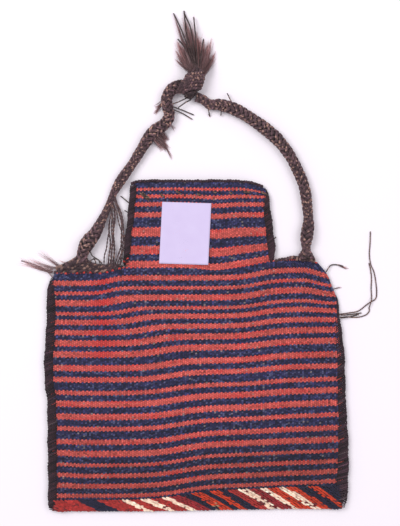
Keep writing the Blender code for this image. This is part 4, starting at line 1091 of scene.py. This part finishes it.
def knot():
    rng = np.random.default_rng(83)
    along = np.linspace(-0.02, 1.0, KNOT_PLACES)
    axis = np.column_stack([mix(KNOT_FOOT, KNOT_HEAD, along[:, None]), np.full(KNOT_PLACES, KNOT_MIDDLE)])
    girth = knot_girth(np.linspace(0, 1, KNOT_PLACES)) * 0.86
    # each group: its yarns' lines, their radius, share of light hair, and a brightness that puts painted shade
    # on the braid under the serving (0.5) and a painted highlight on the serving's ridges (1.5)
    groups = [(round_braid(axis, girth, 0.050)[0], 0.0014, 0.02, 0.5)]
    turns = np.linspace(0, 2 * pi, KNOT_PLACES)
    for k in range(6):                          # ridges of the serving, each a pair of yarns
        ridge = knot_surface(0.25 + 0.112 * k + 0.17 * np.cos(turns), turns, 0.93)
        groups.append((twist(ridge, 0.0011, 2, 0.0085, start=k), 0.00130, 0.08 + 0.20 * (k > 2), 1.5))
    for k in range(5):                          # a smooth lock that is drawn up beside the left strap
        aside = (k - 2) * 0.0019
        lock = smooth_line(((-0.0255 + aside, 0.3590, 0.0150), (-0.0190 + aside, 0.3690, 0.0215),
                            (-0.0110 + aside, 0.3790, 0.0235), (-0.0050 + aside * 0.7, 0.3860, 0.0195),
                            (-0.0010 + aside * 0.4, 0.3925, 0.0150)), 0.00042)
        at = np.linspace(0, len(lock) - 1, KNOT_PLACES)
        lock = np.stack([np.interp(at, np.arange(len(lock)), values) for values in lock.T], axis=1)
        groups.append((lock[None], 0.00125, 0.04, 1))
    for k in range(12):                         # hairs that leave the top of the knot
        hair = knot_surface(np.linspace(0.62, 1.0, KNOT_PLACES), 2 * pi * k / 12, 0.80)
        groups.append((hair[None], 0.0020, 0.04, 1))
    radii = np.concatenate([np.full(len(lines), radius) for lines, radius, _, _ in groups])
    tints = [painted_light * strand_tints(rng, len(lines), KNOT_PLACES, HAIR_BROWN, HAIR_TAN, share, 1)
             for lines, _, share, painted_light in groups]
    lines, tints = np.concatenate([group[0] for group in groups]), np.concatenate(tints)
    lines[:, :, 2] = np.maximum(lines[:, :, 2], radii[:, None] + 0.0003)
    return yarn_object("tied_knot", [(lines, radii[:, None], tints)], 7, goat_hair.material,
                       ["strap_knot"])


tied_knot = knot()


def lock_of_hair(rng, root, tip, hairs, waist, stray, heights, thick, bow):
    """Hairs of one pointed lock that lies from root to tip, and their radii."""
    root, tip = np.array(root, float), np.array(tip, float)
    share = np.linspace(0, 1, HAIR_PLACES)
    ahead = (tip - root) / np.linalg.norm(tip - root)
    aside = np.array((-ahead[1], ahead[0]))
    lines, radii = [], []
    for _ in range(hairs):
        across, reach = rng.normal(0, 1), rng.uniform(0.72, 1.0)
        middle = mix(root, tip, 0.5) + aside * (bow + across * waist)
        start = root + aside * across * waist * 0.6
        end = mix(root, tip, reach) + aside * (across * waist * (1 - reach) + rng.normal(0, stray))
        flat = (((1 - share) ** 2)[:, None] * start + (2 * share * (1 - share))[:, None] * middle
                + (share ** 2)[:, None] * end)
        z = mix(*heights, ease(share * 1.1)) + rng.uniform(-1, 1) * waist * (1 - share)
        lines.append(np.column_stack([flat, np.maximum(z, 0.0005)]))
        radii.append(rng.uniform(*thick) * (1 - 0.85 * share ** 2.5))
    return lines, radii


def locks_mm(rng, rows, low, thick):
    """Hairs of several locks; a row holds root, tip, hairs, half width, stray, bow and height, in mm."""
    lines, radii = [], []
    for root, tip, hairs, waist, stray, bow, height in rows:
        made = lock_of_hair(rng, np.array(root) / 1000, np.array(tip) / 1000, hairs, waist / 1000,
                            stray / 1000, (height / 1000, low), thick, bow / 1000)
        lines += made[0]
        radii += made[1]
    return lines, radii


TASSEL_BROWN = (0.092, 0.044, 0.043)
TASSEL_RED = (0.290, 0.145, 0.138)
HAIR_PLACES = 9
PLIED_SIDES = 6
HAIR_PALING = (0.9, 4.2)    # brightness at a hair's root and at its tip, where light comes through


def hair_object(name, rng, lines, radii, slot="goat_hair_tassel", replaces=(), tones=(0.62, 0.28, 0.10)):
    """Single hairs, each brown, grey or red by the shares in tones."""
    lines, radii = np.array(lines), np.array(radii)
    kind = rng.choice(3, size=len(lines), p=tones)
    bases = np.array([TASSEL_BROWN, HAIR_GREY, TASSEL_RED])[kind]
    bases = bases * np.exp(0.30 * rng.normal(size=(len(lines), 1)))
    tints = bases[:, None] * mix(*HAIR_PALING, np.linspace(0, 1, HAIR_PLACES) ** 2)[None, :, None]
    groups = [(lines, radii, np.clip(tints, 0.004, 0.9))]
    return yarn_object(name, groups, 4, goat_hair.material, replaces)


LOCK_STEP = 0.00155
# lock: start in steps across the knot's head, tip in mm, hairs, half width and stray in mm
LOCKS = (
    (-3, (-35, 480), 26, 0.7, 0.3), (-2, (-33, 476), 20, 0.6, 0.3), (-2, (-20, 471), 40, 1.3, 0.7),
    (1, (-19, 479), 30, 0.8, 0.5), (2, (-4, 478), 34, 0.8, 0.3), (1, (-14, 466), 40, 1.6, 1.0),
    (-5, (-28, 438), 90, 2.1, 1.5), (-6, (-31, 424), 40, 1.2, 0.5), (-5, (-27, 418), 40, 1.4, 0.8),
    (-6, (-31, 412), 26, 1.0, 0.5), (0, (-12, 452), 110, 2.6, 2.2), (-1, (-8, 458), 90, 2.2, 1.6),
    (1, (0, 450), 100, 2.6, 2.0), (2, (4, 444), 90, 2.4, 1.8), (3, (11, 439), 80, 2.0, 0.9),
    (4, (8, 428), 90, 2.4, 2.0), (5, (17, 438), 50, 1.6, 1.2), (6, (22, 443), 40, 1.3, 0.8),
    (6, (28, 423), 50, 1.4, 0.7), (7, (27, 416), 30, 1.2, 0.6), (5, (20, 428), 60, 2.0, 1.6),
    (-3, (-18, 440), 90, 2.4, 1.8), (-4, (-21, 428), 70, 2.2, 1.8), (0, (-3, 432), 120, 3.0, 2.6),
)

# share of the lock's hairs, how wide they spread, how far they fan out at the tip, radii
TASSEL_PASSES = ((0.62, 0.9, 0.0, (0.00020, 0.00040)), (0.55, 1.5, 0.0022, (0.00009, 0.00015)))


def tassel():
    """Each lock is a core of thick hairs and a fan of fine ones."""
    rng = np.random.default_rng(97)
    lines, radii = [], []
    for start, tip, hairs, waist, stray in LOCKS:
        root = KNOT_HEAD - KNOT_AXIS * 0.007 + KNOT_ACROSS * start * LOCK_STEP
        heights = (rng.uniform(0.012, 0.019), rng.uniform(0.001, 0.005))
        bow = -0.0025 * np.sign(start - 0.5) * (abs(start) > 3)
        for share, spread, fan, thick in TASSEL_PASSES:
            made = lock_of_hair(rng, root, np.array(tip) / 1000, round(hairs * share), waist * spread / 1000,
                                stray * spread / 1000 + fan, heights, thick, bow)
            lines += made[0]
            radii += made[1]
    return hair_object("tassel_hair", rng, lines, radii, replaces=["tassel"])


tassel_hair = tassel()


def plied(name, routes, ply, plies, pitch, colour, fleck, share, material, seed, replaces=()):
    """One mesh of plied yarns, each along its own route; ply is the radius of one of their plies."""
    rng = np.random.default_rng(seed)
    groups = []
    for route in routes:
        line = smooth_line(route, max(0.0007, ply * 1.1))
        lays = twist(line, ply * 0.92, plies, pitch, start=rng.uniform(0, 6))
        lays[:, :, 2] = np.maximum(lays[:, :, 2], ply + 0.0001)
        radii = ply * (1 + 0.10 * rng.normal(size=lays.shape[:2]))
        groups.append((lays, radii, strand_tints(rng, plies, lays.shape[1], colour, fleck, share, 3)))
    return yarn_object(name, groups, PLIED_SIDES, material, replaces)


def hair_yarns(name, routes, ply, plies, pitch, colour, share, seed, replaces=()):
    """Plied goat hair, with a share of tan hairs."""
    return plied(name, routes, ply, plies, pitch, colour, HAIR_TAN, share, goat_hair.material, seed,
                 replaces)


def route_mm(points, high, low, run=20):
    """Route in metres from points in mm, coming down from high to low within a run, also in mm."""
    flat = np.array(points, float) / 1000
    return np.column_stack([flat, mix(high / 1000, low / 1000, ease(arc_length(flat) / (run / 1000)))])


def declare(line, diameter):
    """Works out the length along a cord's line and keeps nothing of it."""
    run_length(line)


# Dark locks of tightly twisted hair that lie among the loose hair of the tassel.
TWISTS_MM = (
    ((-2, 398, 18), (-5, 432, 16), (-9, 455, 9), (-15, 470, 4), (-18, 477, 3)),
    ((-1, 400, 19), (-13, 440, 12), (-16, 458, 7), (-18, 480, 2)),
    ((-4, 398, 16), (-17, 425, 11), (-27, 439, 4)),
    ((4, 398, 18), (7, 420, 14), (10, 438, 7)),
    ((1, 399, 18), (-1, 435, 15), (-4, 470, 4)),
    ((-3, 399, 18), (-20, 447, 9), (-33, 476, 3)),
)
twisted_locks = plied("tassel_twists", [np.array(points) / 1000 for points in TWISTS_MM], 0.00062, 2, 0.0042,
                      (0.036, 0.020, 0.018), HAIR_GREY, 0.10, goat_hair.material, 201)

declare(left_line, STRAP)
declare(right_line, STRAP)

# Shoulders: on the left a thick plied rope goes both ways from the foot of the strap along the cloth's
# edge; on the right a thin one runs from the neck to the strap and on to the corner.

LEFT_ROPES = (
    # name, solid that it stands for, plies' radius, share of light hair,
    # routes: points in mm, start and end height
    ("base", "left_shoulder_braid", 0.00165, 0.14, (
        (((-204, 104), (-192, 105.5), (-174, 106), (-155, 106), (-138, 106.2), (-122, 108.5),
          (-106, 112)), 5, 5),
        (((-199, 109.5), (-186, 110.5), (-166, 110.8), (-146, 110.5), (-128, 111), (-111, 114)), 6.2, 5.6))),
    ("west", None, 0.00165, 0.22, (
        (((-201, 110), (-195, 112), (-186.6, 115.7), (-173.7, 122.8), (-166, 130)), 6.8, 8),
        (((-197, 107.5), (-187, 112.5), (-177, 117), (-167, 122), (-161, 129)), 8, 9))),
    ("east", None, 0.00120, 0.20, (
        (((-161, 127), (-153, 118.5), (-141, 114.5), (-126.6, 113.8), (-110, 115)), 8.5, 6.2),
        (((-166, 124), (-158, 115.5), (-146, 112.8), (-132, 113.2), (-116, 117)), 8.5, 7),
        (((-176, 113), (-166, 116), (-157, 113), (-148, 116.5), (-139, 113)), 8.5, 8))),
)
ROPE_BROWN = 0.8 * np.array(HAIR_BROWN)
for index, (way, node, ply_radius, light, routes) in enumerate(LEFT_ROPES):
    hair_yarns("left_shoulder_rope_" + way, [route_mm(*route) for route in routes], ply_radius, 3,
               8 * ply_radius, ROPE_BROWN, light, 301 + index, (node,) if node else ())

# Red yarn ends show under the left rope.
RED_ENDS_MM = ((-171, 103), (-161, 104), (-152, 104), (-138, 103), (-128, 104.5), (-120, 107), (-187, 102.5),
               (-110, 110), (-103.6, 120), (-98.5, 124))
RED_END_MM = ((-1.2, -1.1), (-0.5, 0.7), (0.7, 0.8), (1.3, -1.0))
red_ends = [route_mm(np.array(spot) + RED_END_MM, 7.8, 8.5) for spot in RED_ENDS_MM]
plied("left_shoulder_red_ends", red_ends, 0.00050, 2, 0.004, (0.62, 0.045, 0.035), BRIGHT_RED, 0.1,
      cloth_wool.material, 305)

RIGHT_ROPE_MM = ((112, 120), (121, 123), (129, 123.6), (134, 125.6), (141, 126.2), (147, 124.8), (154, 124.6))
RIGHT_FOOT_MM = (
    (((142.5, 122.6), (147, 127), (151.5, 134)), 8, 11),
    (((146.5, 122.5), (150.5, 126), (154, 131)), 8.5, 12),
    (((152, 121.5), (155, 127), (157, 133)), 10.5, 15),
    (((158, 121.3), (158.5, 127), (158.5, 133)), 10.5, 15.5),
    (((164, 121), (161.5, 127), (160, 133)), 9.5, 14),
    (((169, 119.5), (165.5, 125.5), (162, 132)), 7, 11),
    (((149, 121.6), (157, 122.6), (167, 120.5)), 9.5, 8.5),
)
hair_yarns("right_shoulder_rope", [route_mm(RIGHT_ROPE_MM, 6.6, 6.6)], 0.00140, 2, 0.0085, HAIR_BROWN, 0.18, 303,
           ("right_shoulder_braid",))
hair_yarns("right_strap_foot", [route_mm(*route) for route in RIGHT_FOOT_MM], 0.00150, 2, 0.0090, HAIR_BROWN,
           0.24, 304)

# Loose ends: two long two-ply yarns hang out of the right side and a frayed strand out of the left
# corner; threads hang from the left strap to the shoulder, and short ends and tufts stick out.

YARN = 0.0018
CORNER_STRAND = 0.0026
YARN_BROWN = (0.115, 0.062, 0.055)
YARN_TAN = (0.30, 0.19, 0.12)
STRAND_GREY = (0.36, 0.25, 0.26)
THREAD_BROWN = (0.085, 0.050, 0.054)
TWO_PLY = 1.92              # width of a two-ply thread, in widths of a ply
OUTER_YARN_MM = ((220, 46.3), (233, 49), (246, 59), (257, 66), (259, 76), (257.5, 92), (255, 105),
                 (250.5, 116), (248.5, 130), (249.5, 146), (250, 163))
INNER_YARN_MM = ((217, 40.5), (225.5, 39.5), (235, 40.3), (244, 43.5), (248.5, 49), (248, 53.5), (250, 60),
                 (251.5, 70), (251, 81), (251.5, 96), (250, 109), (247.8, 117.8))
STRAND_MM = ((-215, 106), (-224, 112), (-237, 117), (-252, 121))
CROSSING = np.array((0.250, 0.061))     # where the inner yarn goes over the outer one


def from_edge(side, share, reach, step, points_mm):
    """Flat line from the bound edge, at a share of the body's height, through points in millimetres."""
    at, _, outward = edge_run(side, share * BODY_HEIGHT, share * BODY_HEIGHT + 0.0001, 0.0001, False)
    root = at[0] + outward[0] * reach
    line = smooth_line([root, root + outward[0] * step] + [np.array(p) / 1000 for p in points_mm], 0.0010)
    return line, np.linalg.norm(line - root, axis=1)


for yarn_name, root_share, points_mm, over in (("outer", 0.7786, OUTER_YARN_MM, False),
                                               ("inner", 0.7643, INNER_YARN_MM, True)):
    flat, away = from_edge(1, root_share, 0.0030, 0.003, points_mm)
    height = mix(BINDING_HEIGHT / 2, YARN / 2 + 0.0002, ease(away / 0.016))
    if over:
        height = height + (YARN + 0.0006) * (1 - ease(np.linalg.norm(flat - CROSSING, axis=1) / 0.011))
    yarn_line = np.column_stack([flat, height])
    loose_yarn = plied("loose_yarn_" + yarn_name + "_twist", [yarn_line], YARN * 0.27, 2, 0.0048, YARN_BROWN,
                       YARN_TAN, 0.16, binding_wool.material, 401 + over,
                       ("loose_yarn_" + yarn_name,))
    declare(yarn_line, YARN)

flat, away = from_edge(-1, 0.980, 0.0005, 0.002, STRAND_MM)
corner_line = np.column_stack([flat, mix(0.0047, CORNER_STRAND / 2 + 0.0002, ease(away / 0.014))])
corner_twist = plied("corner_strand_twist", [corner_line], 0.00046, 3, 0.008, STRAND_GREY, HAIR_GREY, 0.2,
                     binding_wool.material, 412, ("corner_strand",))
WISPS_MM = (
    ((-206, 104), (-261, 122), 32, 1.8, 4.4, 2, 5.5), ((-206, 107), (-236, 116), 22, 2.4, 3.6, 3, 5.5),
    ((-199, 110), (-247, 126), 17, 1.6, 3.0, 3, 5.5), ((-193, 112), (-231, 137), 15, 1.6, 3.0, 1, 5.5),
    ((-197, 112), (-216, 127), 10, 1.2, 2.4, 1, 5.5), ((-184, 119), (-199, 122), 6, 0.3, 0.6, 3, 5.5),
)
rng = np.random.default_rng(411)
corner_wisps = hair_object("corner_wisps", rng, *locks_mm(rng, WISPS_MM, 0.0009, (0.00008, 0.00015)),
                           slot="loose_wool_yarn", tones=(0.05, 0.30, 0.65))
declare(corner_line, CORNER_STRAND)

# thread: route, height at its top and at its foot, ply radius, all in mm
THREADS_MM = (
    (((-124.6, 178), (-126.4, 158), (-128.2, 140), (-132.6, 127.5), (-133, 114)), 6, 6, 0.60),
    (((-122, 193), (-125, 165), (-123.7, 140), (-126.4, 114)), 7, 6, 0.70),
    (((-120.5, 203), (-119.8, 172), (-119.2, 149), (-122.2, 131), (-123.7, 113)), 8, 7, 0.85),
    (((-119.2, 206), (-117.4, 180), (-118.7, 154), (-118, 129), (-119.2, 113)), 6, 6, 0.80),
    (((-121.5, 197), (-121, 158), (-120.5, 113)), 6, 9, 0.50),
    (((-120, 212), (-114.5, 201), (-109.8, 186.5), (-107.3, 165), (-107.6, 143.6), (-113, 129),
      (-116.5, 115)), 6, 6, 0.70),
    (((-119, 214), (-112, 199), (-105.8, 179.4), (-103.7, 158), (-104.4, 140), (-109.4, 125.7),
      (-114, 113)), 6, 7, 0.65),
    (((-121, 208), (-113.5, 185), (-105.8, 154), (-108.5, 122), (-110, 114)), 6, 8, 0.55),
    (((-118.5, 216), (-108.5, 186), (-104.5, 160), (-106, 138), (-109, 115)), 6, 5, 0.50),
)
for index, (points_mm, high, low, thread_ply) in enumerate(THREADS_MM):
    thread_line = smooth_line(route_mm(points_mm, high, low, 90), 0.001)
    thread_line[1:-1, 0] += 0.0007 * np.sin(np.arange(1, len(thread_line) - 1) * 0.14 + index * 1.7)
    ply_radius = thread_ply / 1000
    thread = hair_yarns("left_thread_" + str(index + 1), [thread_line], ply_radius, 2, 0.0110, THREAD_BROWN,
                        0.06, 421 + index)
    declare(thread_line, 2 * ply_radius * TWO_PLY)

# Each short end is a few millimetres of stiff yarn, and each tuft a few hairs.
SHORT_ENDS_MM = (
    (((-152, 134), (-149, 128), (-143, 124), (-137, 119), (-134, 114)), 8, 6),
    (((-152, 116), (-151, 121), (-146, 123.5), (-140, 122), (-137.5, 115)), 9, 8),
    (((-147, 125), (-144, 119), (-145, 114)), 9, 8),
    (((-34, 345), (-24, 349), (-14, 354)), 10, 6),
    (((-26, 340), (-16, 347), (-8, 351)), 8, 9),
    (((-36, 342), (-21, 337.5), (-4, 330.5)), 9, 2),
    (((-36, 338), (-21, 333), (-6, 324)), 8, 2),
    (((16, 345), (17.5, 336), (19, 329)), 8, 2),
    (((36, 344), (35.5, 336), (35, 329)), 8, 2),
    (((51, 346), (47, 354), (44, 361)), 10, 4),
    (((-97, 204), (-103, 209), (-109, 214)), 5, 2),
    (((-98, 190), (-100, 191.5), (-103, 193)), 5, 3),
    (((108, 149), (111, 152), (114, 155)), 5, 3),
    (((207, 43), (222, 44), (237, 46)), 4.7, 1.5),
    (((207, 39), (222, 41), (233, 44)), 4.7, 2),
    (((185, 104), (189, 110), (194, 115), (204, 115), (211, 113)), 4.7, 1.2),
)
hair_yarns("short_ends", [route_mm(*route) for route in SHORT_ENDS_MM], 0.00052, 2, 0.0045,
           (0.045, 0.027, 0.024), 0.08, 441)
TUFTS_MM = (
    ((-47, 349), (-62, 331), 26, 1.4, 1.6, 1, 8), ((-45, 351), (-60, 340), 22, 1.2, 1.6, 1, 8),
    ((-58, 304), (-45, 288), 60, 2.0, 3.0, 4, 10), ((-57, 299), (-40, 278), 50, 2.0, 3.0, 4, 9),
    ((-62, 297), (-48, 279), 50, 2.4, 3.0, 3, 9), ((-50, 305), (-41, 292), 40, 2.0, 2.4, 2, 10),
    ((-41, 316), (-30, 309), 10, 0.8, 1.6, 2, 10), ((-52, 295), (-34, 266), 14, 0.6, 1.2, 2, 6),
    ((203, 115), (219, 109), 16, 0.5, 1.2, -1, 2), ((192, 79), (210, 83), 12, 0.4, 0.7, 1, 4),
    ((17, 332), (20, 327), 6, 0.3, 0.5, 0, 3),
)
rng = np.random.default_rng(451)
hair_object("tufts", rng, *locks_mm(rng, TUFTS_MM, 0.0012, (0.00016, 0.00032)))

# Running stitches: brown goat hair, doubled, sewn across the top of the neck. Each stitch dips into the
# cloth at both of its ends.

STITCHES_MM = (((-81, 217), (-68, 206)), ((-78, 218), (-67, 209)), ((-53, 216), (-45, 211)),
               ((-30, 220), (-22, 215)), ((1, 216), (6, 213)), ((24, 219), (28, 217)),
               ((46, 218), (51, 216)), ((67, 219), (77, 217.5)), ((92, 218.5), (102, 214)))
STITCH_RISE = np.array((-0.0006, 0.0011, 0.0016, 0.0011, -0.0006))
STITCH_PAIR = np.array((0.0004, 0.0013))
stitch_routes = []
for start, end in np.array(STITCHES_MM, float):
    points = np.array([mix(start, end, share) for share in (0, 0.2, 0.5, 0.8, 1)]) / 1000
    height = upper_side(points[:, 0], points[:, 1] - FOLD_Y) + STITCH_RISE
    stitch_routes += [np.column_stack([points, height]), np.column_stack([points + STITCH_PAIR, height])]
plied("neck_running_stitches", stitch_routes, 0.00045, 2, 0.0040, (0.070, 0.042, 0.034), (0.40, 0.26, 0.17),
      0.30, goat_hair.material, 461)

# Label: a bare slip of lilac-white paper that lies on the neck, slightly turned. Its edges and corners
# are a little lifted.

LABEL_WIDTH = 0.070
LABEL_HEIGHT = 0.088
LABEL_THICKNESS = 0.0003
LABEL_CURL = 0.0022
LABEL_LIFT = 0.0009         # of its corners
LABEL_TURN = -0.03
LABEL_CENTRE = (NECK_SHIFT - 0.020, FOLD_Y + BODY_HEIGHT + 0.047)

label_paper = Finish("label_paper", roughness=0.62, Sheen_Weight=0.05)
pulp = label_paper.noise(label_paper.place(), 60, 3.0)
tooth = label_paper.noise(label_paper.place((1, 3, 1)), 900, 2.0)
label_paper.feed(Base_Color=label_paper.blend(pulp, (0.63, 0.55, 0.80), (0.69, 0.62, 0.86)),
                 Roughness=0.55 + tooth * 0.2)
label_paper.bump(tooth, 0.00006, 0.5)


def label():
    columns, rows = 24, 30
    across = np.array((cos(LABEL_TURN), sin(LABEL_TURN)))
    along = np.array((-across[1], across[0])) + across * 0.02
    u, v = np.meshgrid(np.linspace(-0.5, 0.5, columns + 1), np.linspace(-0.5, 0.5, rows + 1))
    u, v = u.ravel(), v.ravel()
    flat = LABEL_CENTRE + across * (u * LABEL_WIDTH)[:, None] + along * (v * LABEL_HEIGHT)[:, None]
    base = WEFT_RIDGE + 0.0003 + LABEL_CURL * (2 * np.abs(u)) ** 3 * (0.5 - v)
    ripple = 0.00022 * np.sin(u * 9 + v * 4) + LABEL_LIFT * np.maximum(np.abs(u) + np.abs(v) - 0.82, 0) / 0.18
    low = upper_side(flat[:, 0], flat[:, 1] - FOLD_Y) + base + np.maximum(ripple, -0.0001)
    points = np.concatenate([np.column_stack([flat, low]), np.column_stack([flat, low + LABEL_THICKNESS])])
    count = len(flat)
    index = np.arange(count).reshape(rows + 1, columns + 1)
    upper = np.stack([index[:-1, :-1], index[:-1, 1:], index[1:, 1:], index[1:, :-1]], axis=-1).reshape(-1, 4)
    rim = np.concatenate([index[0, :-1], index[:-1, -1], index[-1, :0:-1], index[:0:-1, 0]])
    ahead = np.roll(rim, -1)
    faces = np.concatenate([upper + count, upper[:, ::-1],
                            np.stack([rim, ahead, ahead + count, rim + count], axis=1)])
    sheet = shape("bare_paper_label", points, [faces], np.full((len(points), 3), 0.8), label_paper.material,
                  smooth=False)
    hand_over(sheet, ["paper_label"])


label()
